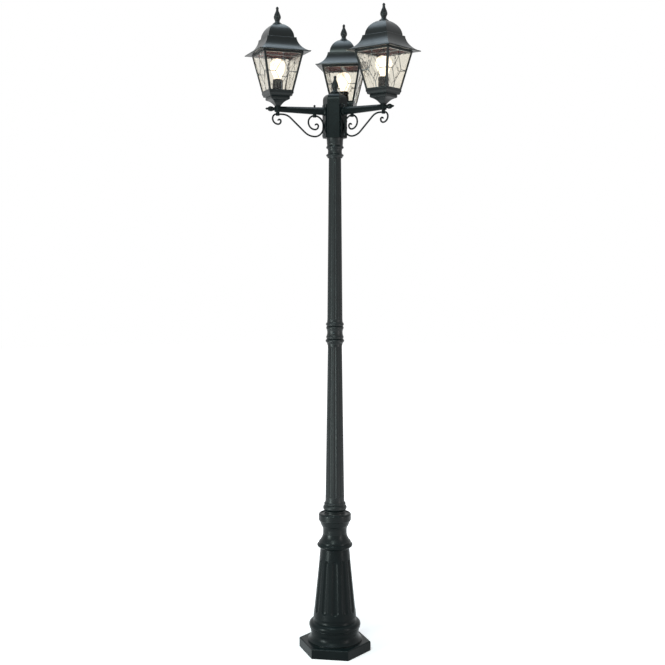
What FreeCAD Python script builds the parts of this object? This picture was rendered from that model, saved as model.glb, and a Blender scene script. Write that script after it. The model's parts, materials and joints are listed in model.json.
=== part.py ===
import FreeCAD, Part
import math
import os

import Sketcher

# A triple head lamp post: a hexagonal foot, a fluted column, a two-piece fluted post with cast collars, a
# hexagonal hub with three arms, and a four-sided leaded lantern on each arm.
# Millimetres, +Z up. The origin is at the centre of the foot's underside, and the plain face of the hub
# points along -Y.

SIZES = {
    # Clearances: between loose curved faces, and round a shaft or thread
    "loose_gap": 0.3,
    "thread_gap": 0.1,
    # Foot: a hollow hexagonal plinth with a turned flare on top
    "foot_across": 301.0,
    "foot_edge_height": 40.5,
    "foot_bevel": 3.5,
    "foot_floor": 9.0,
    "foot_wall": 6.0,
    "flare_radius": 113.0,
    "flare_lip": 6.0,
    "flare_height": 32.5,
    "foot_neck_radius": 100.0,
    "foot_neck_height": 14.0,
    "anchor_circle": 150.0,
    "anchor_hole_radius": 5.5,
    "anchor_holes": 3,
    "cable_entry_radius": 30.0,
    # Column: a tapered casting with a torus below, a bead above and arched flutes between
    "torus_radius": 107.5,
    "torus_height": 31.0,
    "torus_lip_height": 6.0,
    "shoulder_radius": 91.0,
    "shoulder_height": 18.0,
    "column_foot_radius": 88.6,
    "column_head_radius": 60.0,
    "column_shaft_height": 287.0,
    "bead_radius": 72.6,
    "bead_height": 27.0,
    "column_wall": 6.0,
    "column_flute_low": 24.0,
    "column_flute_high": 41.0,
    "column_flute_foot_width": 33.0,
    "column_flute_head_width": 25.0,
    "column_flute_depth": 5.5,
    "flute_count": 12,
    # Cup: a round belly, a waist and a flared cup with a rounded lip
    "cup_seat_radius": 66.0,
    "cup_belly_height": 34.0,
    "waist_radius": 49.3,
    "waist_height": 18.0,
    "cup_cone_height": 37.0,
    "cup_lip_radius": 66.8,
    "cup_lip_height": 31.0,
    "cup_rim_radius": 60.0,
    "cup_recess": 4.0,
    "spigot_radius": 30.0,
    "spigot_length": 24.0,
    "spigot_wall": 4.0,
    # Lower post: a ringed foot, a plain band and a tapered fluted tube
    "post_foot_radius": 42.5,
    "post_ring_radius": 46.8,
    "post_ring_height": 20.0,
    "post_collar_radius": 43.8,
    "post_collar_height": 13.0,
    "post_foot_height": 50.0,
    "post_band_radius": 40.4,
    "post_band_height": 10.0,
    "lower_post_foot_radius": 39.0,
    "lower_post_head_radius": 29.2,
    "lower_post_height": 640.0,
    "lower_flute_foot_width": 12.8,
    "lower_flute_head_width": 9.6,
    "lower_flute_depth": 2.1,
    "lower_flute_low": 18.0,
    "lower_flute_high": 11.0,
    "post_wall": 4.0,
    # Middle collar: two pairs of beads either side of a waist
    "socket_depth": 40.0,
    "socket_inset": 2.0,
    "mid_collar_radius": 31.2,
    "mid_foot_bead_radius": 36.8,
    "mid_bead_radius": 34.8,
    "mid_groove_radius": 31.2,
    "mid_bead_height": 24.0,
    "mid_inner_bead_radius": 34.6,
    "mid_inner_bead_height": 16.0,
    "mid_waist_radius": 32.6,
    "mid_waist_height": 20.0,
    # Upper post
    "upper_post_foot_radius": 31.0,
    "upper_post_head_radius": 25.1,
    "upper_post_height": 652.0,
    "upper_post_spigot_radius": 21.5,
    "upper_flute_foot_width": 9.7,
    "upper_flute_head_width": 7.7,
    "upper_flute_depth": 1.5,
    "upper_flute_inset": 7.0,
    # Top collar: two beads, a neck and a bell under the hub
    "top_bead_radius": 35.0,
    "top_bead_height": 16.0,
    "top_neck_radius": 29.5,
    "top_neck_height": 20.0,
    "bell_foot_radius": 31.5,
    "bell_radius": 33.8,
    "bell_height": 26.0,
    # Hub: a hollow hexagonal prism with a recessed panel on each plain face, and a domed cap
    "hub_side": 49.0,
    "hub_height": 148.0,
    "hub_bore_radius": 32.0,
    "hub_floor": 12.0,
    "panel_depth": 1.5,
    "panel_border": 5.0,
    "cap_height": 27.0,
    "cap_rounding": 23.5,
    "cap_boss_radius": 19.5,
    "cap_boss_height": 4.0,
    "cap_spigot_depth": 10.0,
    "cap_spigot_wall": 3.0,
    "cap_screw_radius": 4.0,
    "cap_screw_depth": 12.0,
    # Arms, seen from the post's axis outwards
    "arm_height": 105.0,
    "arm_reach": 240.6,
    "plate_thickness": 4.0,
    "plate_half_width": 21.5,
    "plate_above": 28.0,
    "plate_below": 103.0,
    "plate_scallops": 4,
    "arm_root_radius": 16.4,
    "arm_tip_radius": 11.2,
    "root_flare_radius": 18.5,
    "root_flare_length": 26.0,
    "boss_radius": 12.0,
    "boss_rise": 12.0,
    "spear_neck_radius": 6.0,
    "spear_bulb_radius": 9.8,
    "spear_length": 38.0,
    "knob_radius": 4.6,
    "knob_rise": 2.5,
    "lug_radius": 7.0,
    "lug_drop": 26.0,
    "arm_bore_radius": 4.0,
    # Scroll: one round bar bent in a plane under the arm
    "scroll_bar_radius": 3.4,
    "scroll_level": 19.2,
    "scroll_run": 20.0,
    "scroll_overrun": 4.0,
    "scroll_upper_bend": 50.0,
    "scroll_lower_bend": 62.0,
    "scroll_corner": 36.8137,
    "outer_curl_radius": 17.0,
    "outer_curl_second": 22.0,
    "outer_curl_third": 12.0,
    "outer_curl_fourth": 6.6,
    "outer_curl_fifth": 4.8,
    "inner_curl_radius": 26.0,
    "inner_curl_second": 28.0,
    "inner_curl_third": 14.0,
    "inner_curl_fourth": 7.6,
    "inner_curl_fifth": 5.0,
    # Screws
    "screw_radius": 2.5,
    "screw_head_radius": 4.0,
    "screw_head_height": 2.6,
    "screw_length": 12.0,
    "plate_screw_high": 23.0,
    "plate_screw_low": 92.0,
    "set_screw_radius": 3.4,
    "set_screw_length": 12.3,
    # Gallery: the stepped cup under each lantern. Half sizes are from the lantern's axis to a side
    "stem_radius": 5.0,
    "stem_bore_radius": 3.2,
    "gallery_foot_half": 12.5,
    "gallery_foot_height": 4.0,
    "gallery_ogee_half": 34.4,
    "gallery_ogee_height": 18.0,
    "gallery_step_half": 37.5,
    "gallery_step_height": 11.0,
    "gallery_flare_height": 13.0,
    "gallery_rim_height": 7.0,
    "gallery_wall": 4.0,
    "gallery_floor": 22.0,
    # Cage: the four-sided frame between gallery and roof
    "cage_foot_half": 49.3,
    "cage_head_half": 80.7,
    "cage_height": 147.0,
    "cage_wall": 3.0,
    "cage_post_width": 8.0,
    "cage_foot_rail": 5.0,
    "cage_head_rail": 6.0,
    "cage_lip": 8.5,
    "cage_lip_thickness": 2.5,
    # Glass and leading
    "pane_thickness": 3.0,
    "came_width": 2.6,
    "came_height": 1.1,
    "diamond_half_width": 28.0,
    "diamond_half_height": 47.0,
    # Lampholder and lamp
    "holder_radius": 20.0,
    "holder_height": 80.0,
    "holder_bore_radius": 13.4,
    "lamp_cap_radius": 13.1,
    "lamp_cap_height": 26.0,
    "lamp_radius": 30.0,
    "lamp_neck_radius": 15.0,
    "lamp_neck_height": 24.0,
    "lamp_height": 80.0,
    "lamp_glass_wall": 1.0,
    # Bridge: a strap across the top of the cage with the stud that the finial screws on
    "strap_width": 14.0,
    "strap_thickness": 2.5,
    "stud_radius": 3.0,
    "stud_grip": 20.0,
    # Roof: a dome on a ledge on a hollow skirt
    "eave_half": 103.0,
    "eave_thickness": 5.0,
    "skirt_foot_half": 95.5,
    "skirt_head_half": 59.0,
    "skirt_height": 50.0,
    "ledge_height": 3.0,
    "dome_foot_half": 52.0,
    "dome_head_half": 19.5,
    "dome_height": 54.0,
    "roof_wall": 3.0,
    "soffit_half": 74.0,
    # Finials
    "finial_foot_radius": 19.0,
    "finial_foot_height": 8.0,
    "finial_neck_radius": 9.0,
    "finial_neck_height": 7.0,
    "finial_drop_radius": 14.0,
    "finial_drop_height": 41.0,
    "finial_waist_radius": 4.4,
    "finial_ball_radius": 5.8,
    "finial_point_radius": 1.2,
    "finial_tip_height": 13.0,
}

LAMP_TURNS = {"right": -30.0, "rear": 90.0, "left": 210.0}
HUB_PANEL_TURNS = (-90.0, 30.0, 150.0)
FLUTE_PHASE = 9.0
QUARTER = math.tan(math.radians(90 / 4))
SCROLL_SLOPE = 42.0
CURL_STEPS = ((1, -1), (-1, -1), (-1, 1), (1, 1), (1, -1))
FRONT = -90.0

DOC = FreeCAD.newDocument("triple_head_lamp_post")
NODES = []


# ---- Sizes and formulas ----


class Size:
    """A length with the formula that works it out from the sheet's cells."""

    def __init__(self, value, formula):
        self.value = float(value)
        self.formula = formula

    def __add__(self, other):
        other = as_size(other)
        return Size(self.value + other.value, f"({self.formula} + {other.formula})")

    def __sub__(self, other):
        other = as_size(other)
        return Size(self.value - other.value, f"({self.formula} - {other.formula})")

    def __mul__(self, other):
        other = as_size(other)
        return Size(self.value * other.value, f"({self.formula} * {other.formula})")

    def __truediv__(self, other):
        other = as_size(other)
        return Size(self.value / other.value, f"({self.formula} / {other.formula})")

    def __neg__(self):
        return self * -1.0


def as_size(number):
    """A plain number as a Size."""
    if isinstance(number, Size):
        return number
    return Size(number, f"({number:.7f})")


def hypotenuse(a, b):
    """The length of a line that runs a one way and b the other."""
    formula = f"sqrt({a.formula} * {a.formula} + {b.formula} * {b.formula})"
    return Size(math.hypot(a.value, b.value), formula)


class Sheet:
    """The spreadsheet of driving sizes. Each alias is an attribute that holds a Size."""

    def __init__(self, sizes):
        cells = DOC.addObject("Spreadsheet::Sheet", "Sizes")
        for row, (alias, value) in enumerate(sizes.items(), start=1):
            cells.set(f"A{row}", alias)
            cells.set(f"B{row}", str(value))
            cells.setAlias(f"B{row}", alias)
            setattr(self, alias, Size(value, f"Sizes.{alias}"))


def bind(thing, **formulas):
    """Binds properties of an object to formulas. Size values are lengths in millimetres."""
    for name, size in formulas.items():
        size = as_size(size)
        setattr(thing, name, size.value)
        thing.setExpression(name, size.formula)


def place(thing, x=0.0, y=0.0, z=0.0, turn=0.0):
    """Puts an object at a bound position, turned about the vertical by a number of degrees."""
    spot = [as_size(c) for c in (x, y, z)]
    upright = FreeCAD.Rotation(FreeCAD.Vector(0, 0, 1), turn)
    thing.Placement = FreeCAD.Placement(FreeCAD.Vector(*(c.value for c in spot)), upright)
    for axis, size in zip("xyz", spot):
        thing.setExpression(f"Placement.Base.{axis}", size.formula)


def node(thing, name):
    """Marks an object as a piece of the lamp post, under the name of its file."""
    thing.Label = name
    NODES.append(thing)
    return thing


# ---- Outlines ----
# An outline is a list of points (x, y) or (x, y, fullness). A fullness makes the stretch that ends at the
# point an arc: it is the arc's rise over half its chord, and it is positive where an outline that is drawn
# anticlockwise bulges out of the piece.


def arc_of(start, end, fullness):
    """The arc between two points, its radius as a Size, and whether it runs anticlockwise."""
    x0, y0 = (c.value for c in start)
    x1, y1 = (c.value for c in end)
    chord = hypotenuse(end[0] - start[0], end[1] - start[1])
    radius = chord * ((1 + fullness**2) / (4 * abs(fullness)))
    rise = abs(fullness) * chord.value / 2
    side = math.copysign(radius.value - rise, fullness) / chord.value
    centre = FreeCAD.Vector((x0 + x1) / 2 - (y1 - y0) * side, (y0 + y1) / 2 + (x1 - x0) * side)
    first, last = ((x0, y0), (x1, y1)) if fullness > 0 else ((x1, y1), (x0, y0))
    angles = [math.atan2(y - centre.y, x - centre.x) for x, y in (first, last)]
    if angles[1] < angles[0]:
        angles[1] += 2 * math.pi
    circle = Part.Circle(centre, FreeCAD.Vector(0, 0, 1), radius.value)
    return Part.ArcOfCircle(circle, *angles), radius, fullness > 0


def pin_point(sketch, geometry, end, x, y):
    """Holds one end of a line or arc at a bound place."""
    for kind, size, axis in (("DistanceX", x, -2), ("DistanceY", y, -1)):
        if abs(size.value) < 1e-9:
            sketch.addConstraint(Sketcher.Constraint("PointOnObject", geometry, end, axis))
            continue
        ends = [(-1, 1), (geometry, end)]
        if size.value < 0:
            ends.reverse()
            size = -size
        number = sketch.addConstraint(Sketcher.Constraint(kind, *ends[0], *ends[1], size.value))
        sketch.setExpression(f"Constraints[{number}]", size.formula)


def draw(sketch, outline, closed=True):
    """Draws an outline of lines and arcs and binds every point and radius to the sheet."""
    points = [tuple(as_size(c) for c in point[:2]) for point in outline]
    arcs = {i: point[2] for i, point in enumerate(outline) if len(point) == 3}
    ends = list(zip(points, points[1:] + points[:1]))
    if not closed:
        ends.pop()
    joins = []
    for i, (start, end) in enumerate(ends):
        fullness = arcs.get(i + 1)
        if fullness is None:
            corners = [FreeCAD.Vector(p[0].value, p[1].value) for p in (start, end)]
            geometry = sketch.addGeometry(Part.LineSegment(*corners))
            joins.append((geometry, 1, 2))
            continue
        arc, radius, forwards = arc_of(start, end, fullness)
        geometry = sketch.addGeometry(arc)
        joins.append((geometry, 1, 2) if forwards else (geometry, 2, 1))
        number = sketch.addConstraint(Sketcher.Constraint("Radius", geometry, radius.value))
        sketch.setExpression(f"Constraints[{number}]", radius.formula)
    for i, (geometry, first, last) in enumerate(joins):
        pin_point(sketch, geometry, first, *ends[i][0])
        if i + 1 < len(joins) or closed:
            following = joins[(i + 1) % len(joins)]
            sketch.addConstraint(
                Sketcher.Constraint("Coincident", geometry, last, following[0], following[1])
            )
        else:
            pin_point(sketch, geometry, last, *ends[i][1])


def both_sides(half):
    """A half outline that climbs the right-hand side, mirrored to make the whole one."""
    back = [(-as_size(half[-1][0]), half[-1][1])]
    for lower, upper in zip(half[-2::-1], half[:0:-1]):
        back.append((-as_size(lower[0]), lower[1], *upper[2:]))
    return half + back


def hexagon(side, turn=0.0):
    """A hexagon's outline, with two corners on the X axis when it isn't turned."""
    angles = [math.radians(turn + 60 * i) for i in range(6)]
    return [(side * math.cos(a), side * math.sin(a)) for a in angles]


# ---- Bodies ----


def new_body(name):
    return DOC.addObject("PartDesign::Body", name)


def origin_part(body, role):
    """The body's own plane or axis, such as XZ_Plane."""
    return next(f for f in body.Origin.OriginFeatures if f.Role == role)


def new_sketch(body, role, name, offset=None):
    """A sketch on one of the body's own planes, or at an offset along that plane's normal."""
    sketch = body.newObject("Sketcher::SketchObject", f"{body.Name}_{name}")
    sketch.AttachmentSupport = (origin_part(body, role), [""])
    sketch.MapMode = "FlatFace"
    if offset is not None:
        bind_offset(sketch, offset)
    return sketch


def bind_offset(sketch, offset):
    offset = as_size(offset)
    sketch.AttachmentOffset = FreeCAD.Placement(
        FreeCAD.Vector(0, 0, offset.value), FreeCAD.Rotation()
    )
    sketch.setExpression("AttachmentOffset.Base.z", offset.formula)


def turned(name, outline):
    """A body turned about its vertical axis from an outline of radius and height."""
    body = new_body(name)
    sketch = new_sketch(body, "XZ_Plane", "profile")
    draw(sketch, outline)
    turning = body.newObject("PartDesign::Revolution", f"{name}_turning")
    turning.Profile = sketch
    turning.ReferenceAxis = (sketch, ["V_Axis"])
    turning.Angle = 360.0
    return body


def pad(body, sketch, length):
    feature = body.newObject("PartDesign::Pad", f"{sketch.Name}_pad")
    feature.Profile = sketch
    bind(feature, Length=length)
    return feature


def pocket_through(body, sketch, up=True):
    """Cuts a sketch right through the body, upwards or downwards from its plane."""
    feature = body.newObject("PartDesign::Pocket", f"{sketch.Name}_cut")
    feature.Profile = sketch
    feature.Type = "ThroughAll"
    feature.Reversed = up
    return feature


def circle(sketch, radius, x=0.0, y=0.0):
    """A circle of bound radius and centre."""
    x, y, radius = (as_size(value) for value in (x, y, radius))
    centre = FreeCAD.Vector(x.value, y.value)
    geometry = sketch.addGeometry(Part.Circle(centre, FreeCAD.Vector(0, 0, 1), radius.value))
    number = sketch.addConstraint(Sketcher.Constraint("Radius", geometry, radius.value))
    sketch.setExpression(f"Constraints[{number}]", radius.formula)
    pin_point(sketch, geometry, 3, x, y)


def polar(body, feature, count):
    """Repeats a feature evenly about the body's vertical axis."""
    pattern = body.newObject("PartDesign::PolarPattern", f"{feature.Name}_round")
    pattern.Originals = [feature]
    pattern.Axis = (origin_part(body, "Z_Axis"), [""])
    pattern.Angle = 360.0
    pattern.Occurrences = int(count.value)
    pattern.setExpression("Occurrences", count.formula)
    body.Tip = pattern


def flutes(body, foot, head, widths, depth, count):
    """Cuts arched flutes down a taper. foot and head are points (radius, height) on its surface."""
    axis = []
    radii = []
    for (radius, height), width in zip((foot, head), widths):
        cutter = (width * width / 4 + depth * depth) / (depth * 2)
        axis.append((radius + cutter - depth, as_size(height)))
        radii.append(cutter)
    (x0, z0), (x1, z1) = axis
    length = hypotenuse(x1 - x0, z1 - z0)
    along = ((x1 - x0) / length, (z1 - z0) / length)
    low_tip = (x0 - along[0] * radii[0], z0 - along[1] * radii[0])
    high_tip = (x1 + along[0] * radii[1], z1 + along[1] * radii[1])
    low_side = (x0 - along[1] * radii[0], z0 + along[0] * radii[0])
    high_side = (x1 - along[1] * radii[1], z1 + along[0] * radii[1])
    sketch = new_sketch(body, "XZ_Plane", "flute")
    draw(sketch, [high_tip, (*high_side, QUARTER), low_side, (*low_tip, QUARTER)])
    ends = [FreeCAD.Vector(x.value, z.value) for x, z in (low_tip, high_tip)]
    centre_line = sketch.addGeometry(Part.LineSegment(*ends), True)
    pin_point(sketch, centre_line, 1, *low_tip)
    pin_point(sketch, centre_line, 2, *high_tip)
    cut = body.newObject("PartDesign::Groove", f"{body.Name}_flute_cut")
    cut.Profile = sketch
    cut.ReferenceAxis = (sketch, ["Axis0"])
    cut.Angle = 360.0
    polar(body, cut, count)


# ---- Primitives and booleans ----


def solid(kind, name, **sizes):
    """A Part primitive with its sizes bound."""
    thing = DOC.addObject(f"Part::{kind}", name)
    bind(thing, **sizes)
    return thing


def upright_cylinder(name, radius, height, x=0.0, z=0.0):
    thing = solid("Cylinder", name, Radius=radius, Height=height)
    place(thing, x=x, z=z)
    return thing


def level_cylinder(name, radius, length, x=0.0, z=0.0):
    """A cylinder that runs along +X from its place."""
    thing = solid("Cylinder", name, Radius=radius, Height=length)
    place(thing, x=x, z=z)
    lay_down(thing)
    return thing


def lay_down(thing):
    """Turns a piece's own vertical axis to +X, about its place."""
    across = FreeCAD.Rotation(FreeCAD.Vector(0, 1, 0), 90)
    thing.Placement = FreeCAD.Placement(thing.Placement.Base, across)


def fuse(name, things):
    joined = DOC.addObject("Part::MultiFuse", name)
    joined.Shapes = things
    return joined


def common(name, things):
    shared = DOC.addObject("Part::MultiCommon", name)
    shared.Shapes = things
    return shared


def cut(name, base, tool):
    left = DOC.addObject("Part::Cut", name)
    left.Base = base
    left.Tool = tool
    return left


def prism(name, outline, turn, length):
    """An upright outline pushed both ways from the axis. turn is its angle about the vertical."""
    sketch = DOC.addObject("Sketcher::SketchObject", f"{name}_sketch")
    draw(sketch, outline)
    upright = FreeCAD.Rotation(FreeCAD.Vector(1, 0, 0), 90)
    round_z = FreeCAD.Rotation(FreeCAD.Vector(0, 0, 1), turn)
    sketch.Placement = FreeCAD.Placement(FreeCAD.Vector(), round_z * upright)
    block = DOC.addObject("Part::Extrusion", name)
    block.Base = sketch
    block.DirMode = "Normal"
    block.Solid = True
    block.Symmetric = True
    bind(block, LengthFwd=length)
    return block


def crossed(name, outline, length):
    """The same upright prism along X and along Y."""
    return [prism(f"{name}_{turn}", outline, turn, length) for turn in (0, 90)]


def squared(name, half, length):
    """A four-sided solid whose sides all follow one half outline of (half width, height)."""
    return common(name, crossed(name, both_sides(half), length))


def compound(name, things):
    group = DOC.addObject("Part::Compound", name)
    group.Links = things
    return group


# ---- Foot, column, cup and post ----


def make_foot(d):
    """The hexagonal plinth with its flare: hollow, with a floor that holds the anchor holes."""
    body = new_body("foot")
    plinth = new_sketch(body, "XY_Plane", "plinth")
    draw(plinth, hexagon(d.foot_across / 2))
    block = pad(body, plinth, d.foot_edge_height)
    bevel = body.newObject("PartDesign::Chamfer", "foot_bevel_cut")
    bevel.Base = (block, edges_at(block, d.foot_edge_height))
    bind(bevel, Size=d.foot_bevel)
    flare = new_sketch(body, "XZ_Plane", "flare")
    lip = d.foot_edge_height + d.flare_lip
    neck = lip + d.flare_height
    head = neck + d.foot_neck_height
    draw(flare, [
        (0, d.foot_edge_height - d.foot_bevel),
        (d.flare_radius, d.foot_edge_height - d.foot_bevel),
        (d.flare_radius, lip),
        (d.foot_neck_radius, neck, -0.36),
        (d.foot_neck_radius, head),
        (0, head),
    ])
    turning = body.newObject("PartDesign::Revolution", "foot_turning")
    turning.Profile = flare
    turning.ReferenceAxis = (flare, ["V_Axis"])
    turning.Angle = 360.0
    hollow = new_sketch(body, "XZ_Plane", "hollow")
    draw(hollow, [
        (0, d.foot_floor),
        (d.flare_radius - d.foot_wall, d.foot_floor),
        (d.flare_radius - d.foot_wall, lip - d.foot_wall),
        (d.foot_neck_radius - d.foot_wall, neck, -0.36),
        (d.foot_neck_radius - d.foot_wall, head),
        (0, head),
    ])
    hollowing = body.newObject("PartDesign::Groove", "foot_hollowing")
    hollowing.Profile = hollow
    hollowing.ReferenceAxis = (hollow, ["V_Axis"])
    hollowing.Angle = 360.0
    entry = new_sketch(body, "XY_Plane", "entry")
    circle(entry, d.cable_entry_radius)
    pocket_through(body, entry)
    anchor = new_sketch(body, "XY_Plane", "anchor")
    circle(anchor, d.anchor_hole_radius, x=d.anchor_circle / 2)
    polar(body, pocket_through(body, anchor), d.anchor_holes)
    place(body, turn=0.0)
    node(body, "foot")
    return head


def edges_at(block, height):
    """The names of a block's edges that lie flat at a height."""
    DOC.recompute()
    return [
        f"Edge{number}"
        for number, edge in enumerate(block.Shape.Edges, start=1)
        if all(abs(corner.Z - height.value) < 1e-6 for corner in edge.Vertexes)
    ]


def make_column(d, base):
    """The fluted column. Its underside rests on the foot's neck."""
    torus = d.torus_height
    shaft = torus + d.shoulder_height
    head = shaft + d.column_shaft_height
    top = head + d.bead_height
    lip = d.torus_lip_height
    column = turned("column", [
        (d.foot_neck_radius - d.foot_wall, 0),
        (d.foot_neck_radius + 1.5, 0),
        (d.torus_radius - 3.5, lip, 0.5),
        (d.torus_radius - 2.5, lip + 1.0),
        (d.shoulder_radius, torus, 0.55),
        (d.column_foot_radius, shaft, -0.25),
        (d.column_head_radius, head),
        (d.column_head_radius + 2.0, head + 1.0),
        (d.bead_radius - 4.0, head + d.bead_height * 0.24, -0.25),
        (d.bead_radius - 4.0, head + d.bead_height * 0.76, 0.65),
        (d.cup_seat_radius, top, -0.15),
        (d.spigot_radius + d.loose_gap, top),
        (d.spigot_radius + d.loose_gap, top - d.column_wall),
        (d.column_head_radius - d.column_wall, head - d.column_wall),
        (d.column_foot_radius - d.column_wall, shaft),
    ])
    rise = d.column_shaft_height
    fall = d.column_foot_radius - d.column_head_radius
    low = d.column_flute_low + d.column_flute_foot_width / 2
    high = rise - d.column_flute_high - d.column_flute_head_width / 2
    flutes(
        column,
        (d.column_foot_radius - fall * low / rise, shaft + low),
        (d.column_foot_radius - fall * high / rise, shaft + high),
        (d.column_flute_foot_width, d.column_flute_head_width),
        d.column_flute_depth,
        d.flute_count,
    )
    place(column, z=base, turn=FLUTE_PHASE)
    node(column, "column")
    return base + top


def make_cup(d, base):
    """The belly, waist and flared cup, with a spigot down into the column and a socket above."""
    belly = d.cup_belly_height
    waist = belly + d.waist_height
    cone = waist + d.cup_cone_height
    top = cone + d.cup_lip_height
    cup = turned("cup", [
        (d.spigot_radius - d.spigot_wall, -d.spigot_length),
        (d.spigot_radius, -d.spigot_length),
        (d.spigot_radius, 0),
        (d.cup_seat_radius, 0),
        (d.cup_seat_radius - 3.0, 4.0, 0.3),
        (d.waist_radius, belly, -0.14),
        (d.waist_radius, waist),
        (d.waist_radius + 6.5, waist + d.cup_cone_height * 0.45, -0.14),
        (d.cup_lip_radius - 3.0, cone, -0.02),
        (d.cup_lip_radius, cone + 2.5, 0.2),
        (d.cup_lip_radius, top - 8.0),
        (d.cup_rim_radius, top, 0.4),
        (d.cup_rim_radius - 3.0, top - d.cup_recess, 0.1),
        (d.spigot_radius + d.loose_gap, top - d.cup_recess),
        (d.spigot_radius + d.loose_gap, top - d.cup_recess - d.spigot_length - 1.0),
        (d.spigot_radius - d.spigot_wall, top - d.cup_recess - d.spigot_length - 1.0),
    ])
    place(cup, z=base, turn=FLUTE_PHASE)
    node(cup, "cup")
    return base + top - d.cup_recess


def make_lower_post(d, base):
    """The ringed foot and the lower fluted tube. Its head runs up into the middle collar's socket."""
    foot = d.post_foot_height
    band = foot + d.post_band_height
    head = band + d.lower_post_height
    bore = d.lower_post_head_radius - d.post_wall
    post = turned("lower_post", [
        (bore, -d.spigot_length),
        (d.spigot_radius, -d.spigot_length),
        (d.spigot_radius, 0),
        (d.post_foot_radius + 2.5, 0),
        (d.post_foot_radius, 10.0, -0.3),
        (d.post_ring_radius - 3.0, foot - d.post_collar_height - d.post_ring_height, -0.2),
        (d.post_ring_radius - 3.0, foot - d.post_collar_height, 0.5),
        (d.post_collar_radius - 1.5, foot - d.post_collar_height + 2.0),
        (d.post_collar_radius - 1.5, foot - 2.0, 0.5),
        (d.post_band_radius, foot),
        (d.lower_post_foot_radius, band, -0.1),
        (d.lower_post_head_radius, head),
        (d.lower_post_head_radius - d.socket_inset, head),
        (d.lower_post_head_radius - d.socket_inset, head + d.socket_depth),
        (bore, head + d.socket_depth),
    ])
    rise = d.lower_post_height
    fall = d.lower_post_foot_radius - d.lower_post_head_radius
    low = d.lower_flute_low
    high = rise - d.lower_flute_high
    flutes(
        post,
        (d.lower_post_foot_radius - fall * low / rise, band + low),
        (d.lower_post_foot_radius - fall * high / rise, band + high),
        (d.lower_flute_foot_width, d.lower_flute_head_width),
        d.lower_flute_depth,
        d.flute_count,
    )
    place(post, z=base, turn=FLUTE_PHASE)
    node(post, "lower_post")
    return base + head


def mid_collar_height(d):
    return (d.mid_bead_height + d.mid_inner_bead_height) * 2 + d.mid_waist_height


def make_mid_collar(d, base):
    """The beaded collar that joins the two posts, with a socket at each end."""
    outer = d.mid_bead_height
    inner = outer + d.mid_inner_bead_height
    top = mid_collar_height(d)
    socket = d.lower_post_head_radius - d.socket_inset + d.loose_gap
    casting = turned("mid_collar_casting", [
        (socket, 0),
        (d.mid_collar_radius, 0),
        (d.mid_collar_radius, 3.0),
        (d.mid_foot_bead_radius, outer * 0.5, -0.2),
        (d.mid_groove_radius, outer, 0.5),
        (d.mid_inner_bead_radius, outer + 4.0, 0.4),
        (d.mid_inner_bead_radius - 0.6, inner - 4.0, 0.3),
        (d.mid_waist_radius, inner),
        (d.mid_waist_radius, top - inner, -0.12),
        (d.mid_inner_bead_radius - 0.6, top - inner + 4.0),
        (d.mid_inner_bead_radius, top - outer - 4.0, 0.3),
        (d.mid_groove_radius, top - outer, 0.4),
        (d.mid_bead_radius, top - outer * 0.5, 0.5),
        (d.mid_collar_radius, top - 3.0, -0.2),
        (d.mid_collar_radius, top),
        (d.upper_post_spigot_radius + d.loose_gap, top),
        (d.upper_post_spigot_radius + d.loose_gap, d.socket_depth),
        (socket, d.socket_depth),
    ])
    hole = set_screw(d, "mid_collar_hole", d.thread_gap, d.upper_post_spigot_radius, top / 2)
    collar = cut("mid_collar", casting, hole)
    place(collar, z=base)
    node(collar, "mid_collar")
    screw = set_screw(d, "mid_set_screw", 0, d.upper_post_spigot_radius, base + top / 2)
    return base + top, screw


def make_upper_post(d, base):
    """The upper fluted tube, with a spigot down into the middle collar and a head in the top collar."""
    spigot = mid_collar_height(d) - d.socket_depth - 2.0
    bore = d.upper_post_spigot_radius - d.post_wall
    head = d.upper_post_height
    end = head + d.top_bead_height + d.top_neck_height + d.socket_depth / 2
    post = turned("upper_post", [
        (bore, -spigot),
        (d.upper_post_spigot_radius, -spigot),
        (d.upper_post_spigot_radius, 0),
        (d.upper_post_foot_radius, 0),
        (d.upper_post_head_radius, head),
        (d.upper_post_head_radius, end),
        (bore, end),
    ])
    fall = d.upper_post_foot_radius - d.upper_post_head_radius
    low = d.upper_flute_inset
    high = head - d.upper_flute_inset
    flutes(
        post,
        (d.upper_post_foot_radius - fall * low / head, low),
        (d.upper_post_foot_radius - fall * high / head, high),
        (d.upper_flute_foot_width, d.upper_flute_head_width),
        d.upper_flute_depth,
        d.flute_count,
    )
    place(post, z=base, turn=FLUTE_PHASE)
    node(post, "upper_post")
    return base + head


def make_top_collar(d, base):
    """The collar on the upper post's head. The hub's floor stands on it, round its spigot."""
    bead = d.top_bead_height
    neck = bead + d.top_neck_height
    ring = neck + bead
    top = ring + d.bell_height
    socket = d.upper_post_head_radius + d.loose_gap
    bore = d.upper_post_head_radius - d.post_wall
    casting = turned("top_collar_casting", [
        (socket, 0),
        (d.top_neck_radius, 0),
        (d.top_bead_radius, bead * 0.5, -0.2),
        (d.top_neck_radius, bead, 0.45),
        (d.top_neck_radius, neck, -0.15),
        (d.top_bead_radius, neck + bead * 0.5, 0.45),
        (d.bell_foot_radius, ring, -0.2),
        (d.bell_foot_radius + 1.0, ring + 4.0),
        (d.bell_radius, top, -0.05),
        (d.upper_post_head_radius, top),
        (d.upper_post_head_radius, top + d.hub_floor - 1.0),
        (bore, top + d.hub_floor - 1.0),
        (bore, neck + d.socket_depth / 2),
        (socket, neck + d.socket_depth / 2),
    ])
    middle = neck + bead * 0.5
    hole = set_screw(d, "top_collar_hole", d.thread_gap, d.upper_post_head_radius, middle)
    collar = cut("top_collar", casting, hole)
    place(collar, z=base)
    node(collar, "top_collar")
    screw = set_screw(d, "top_set_screw", 0, d.upper_post_head_radius, base + middle)
    return base + top, screw


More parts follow.
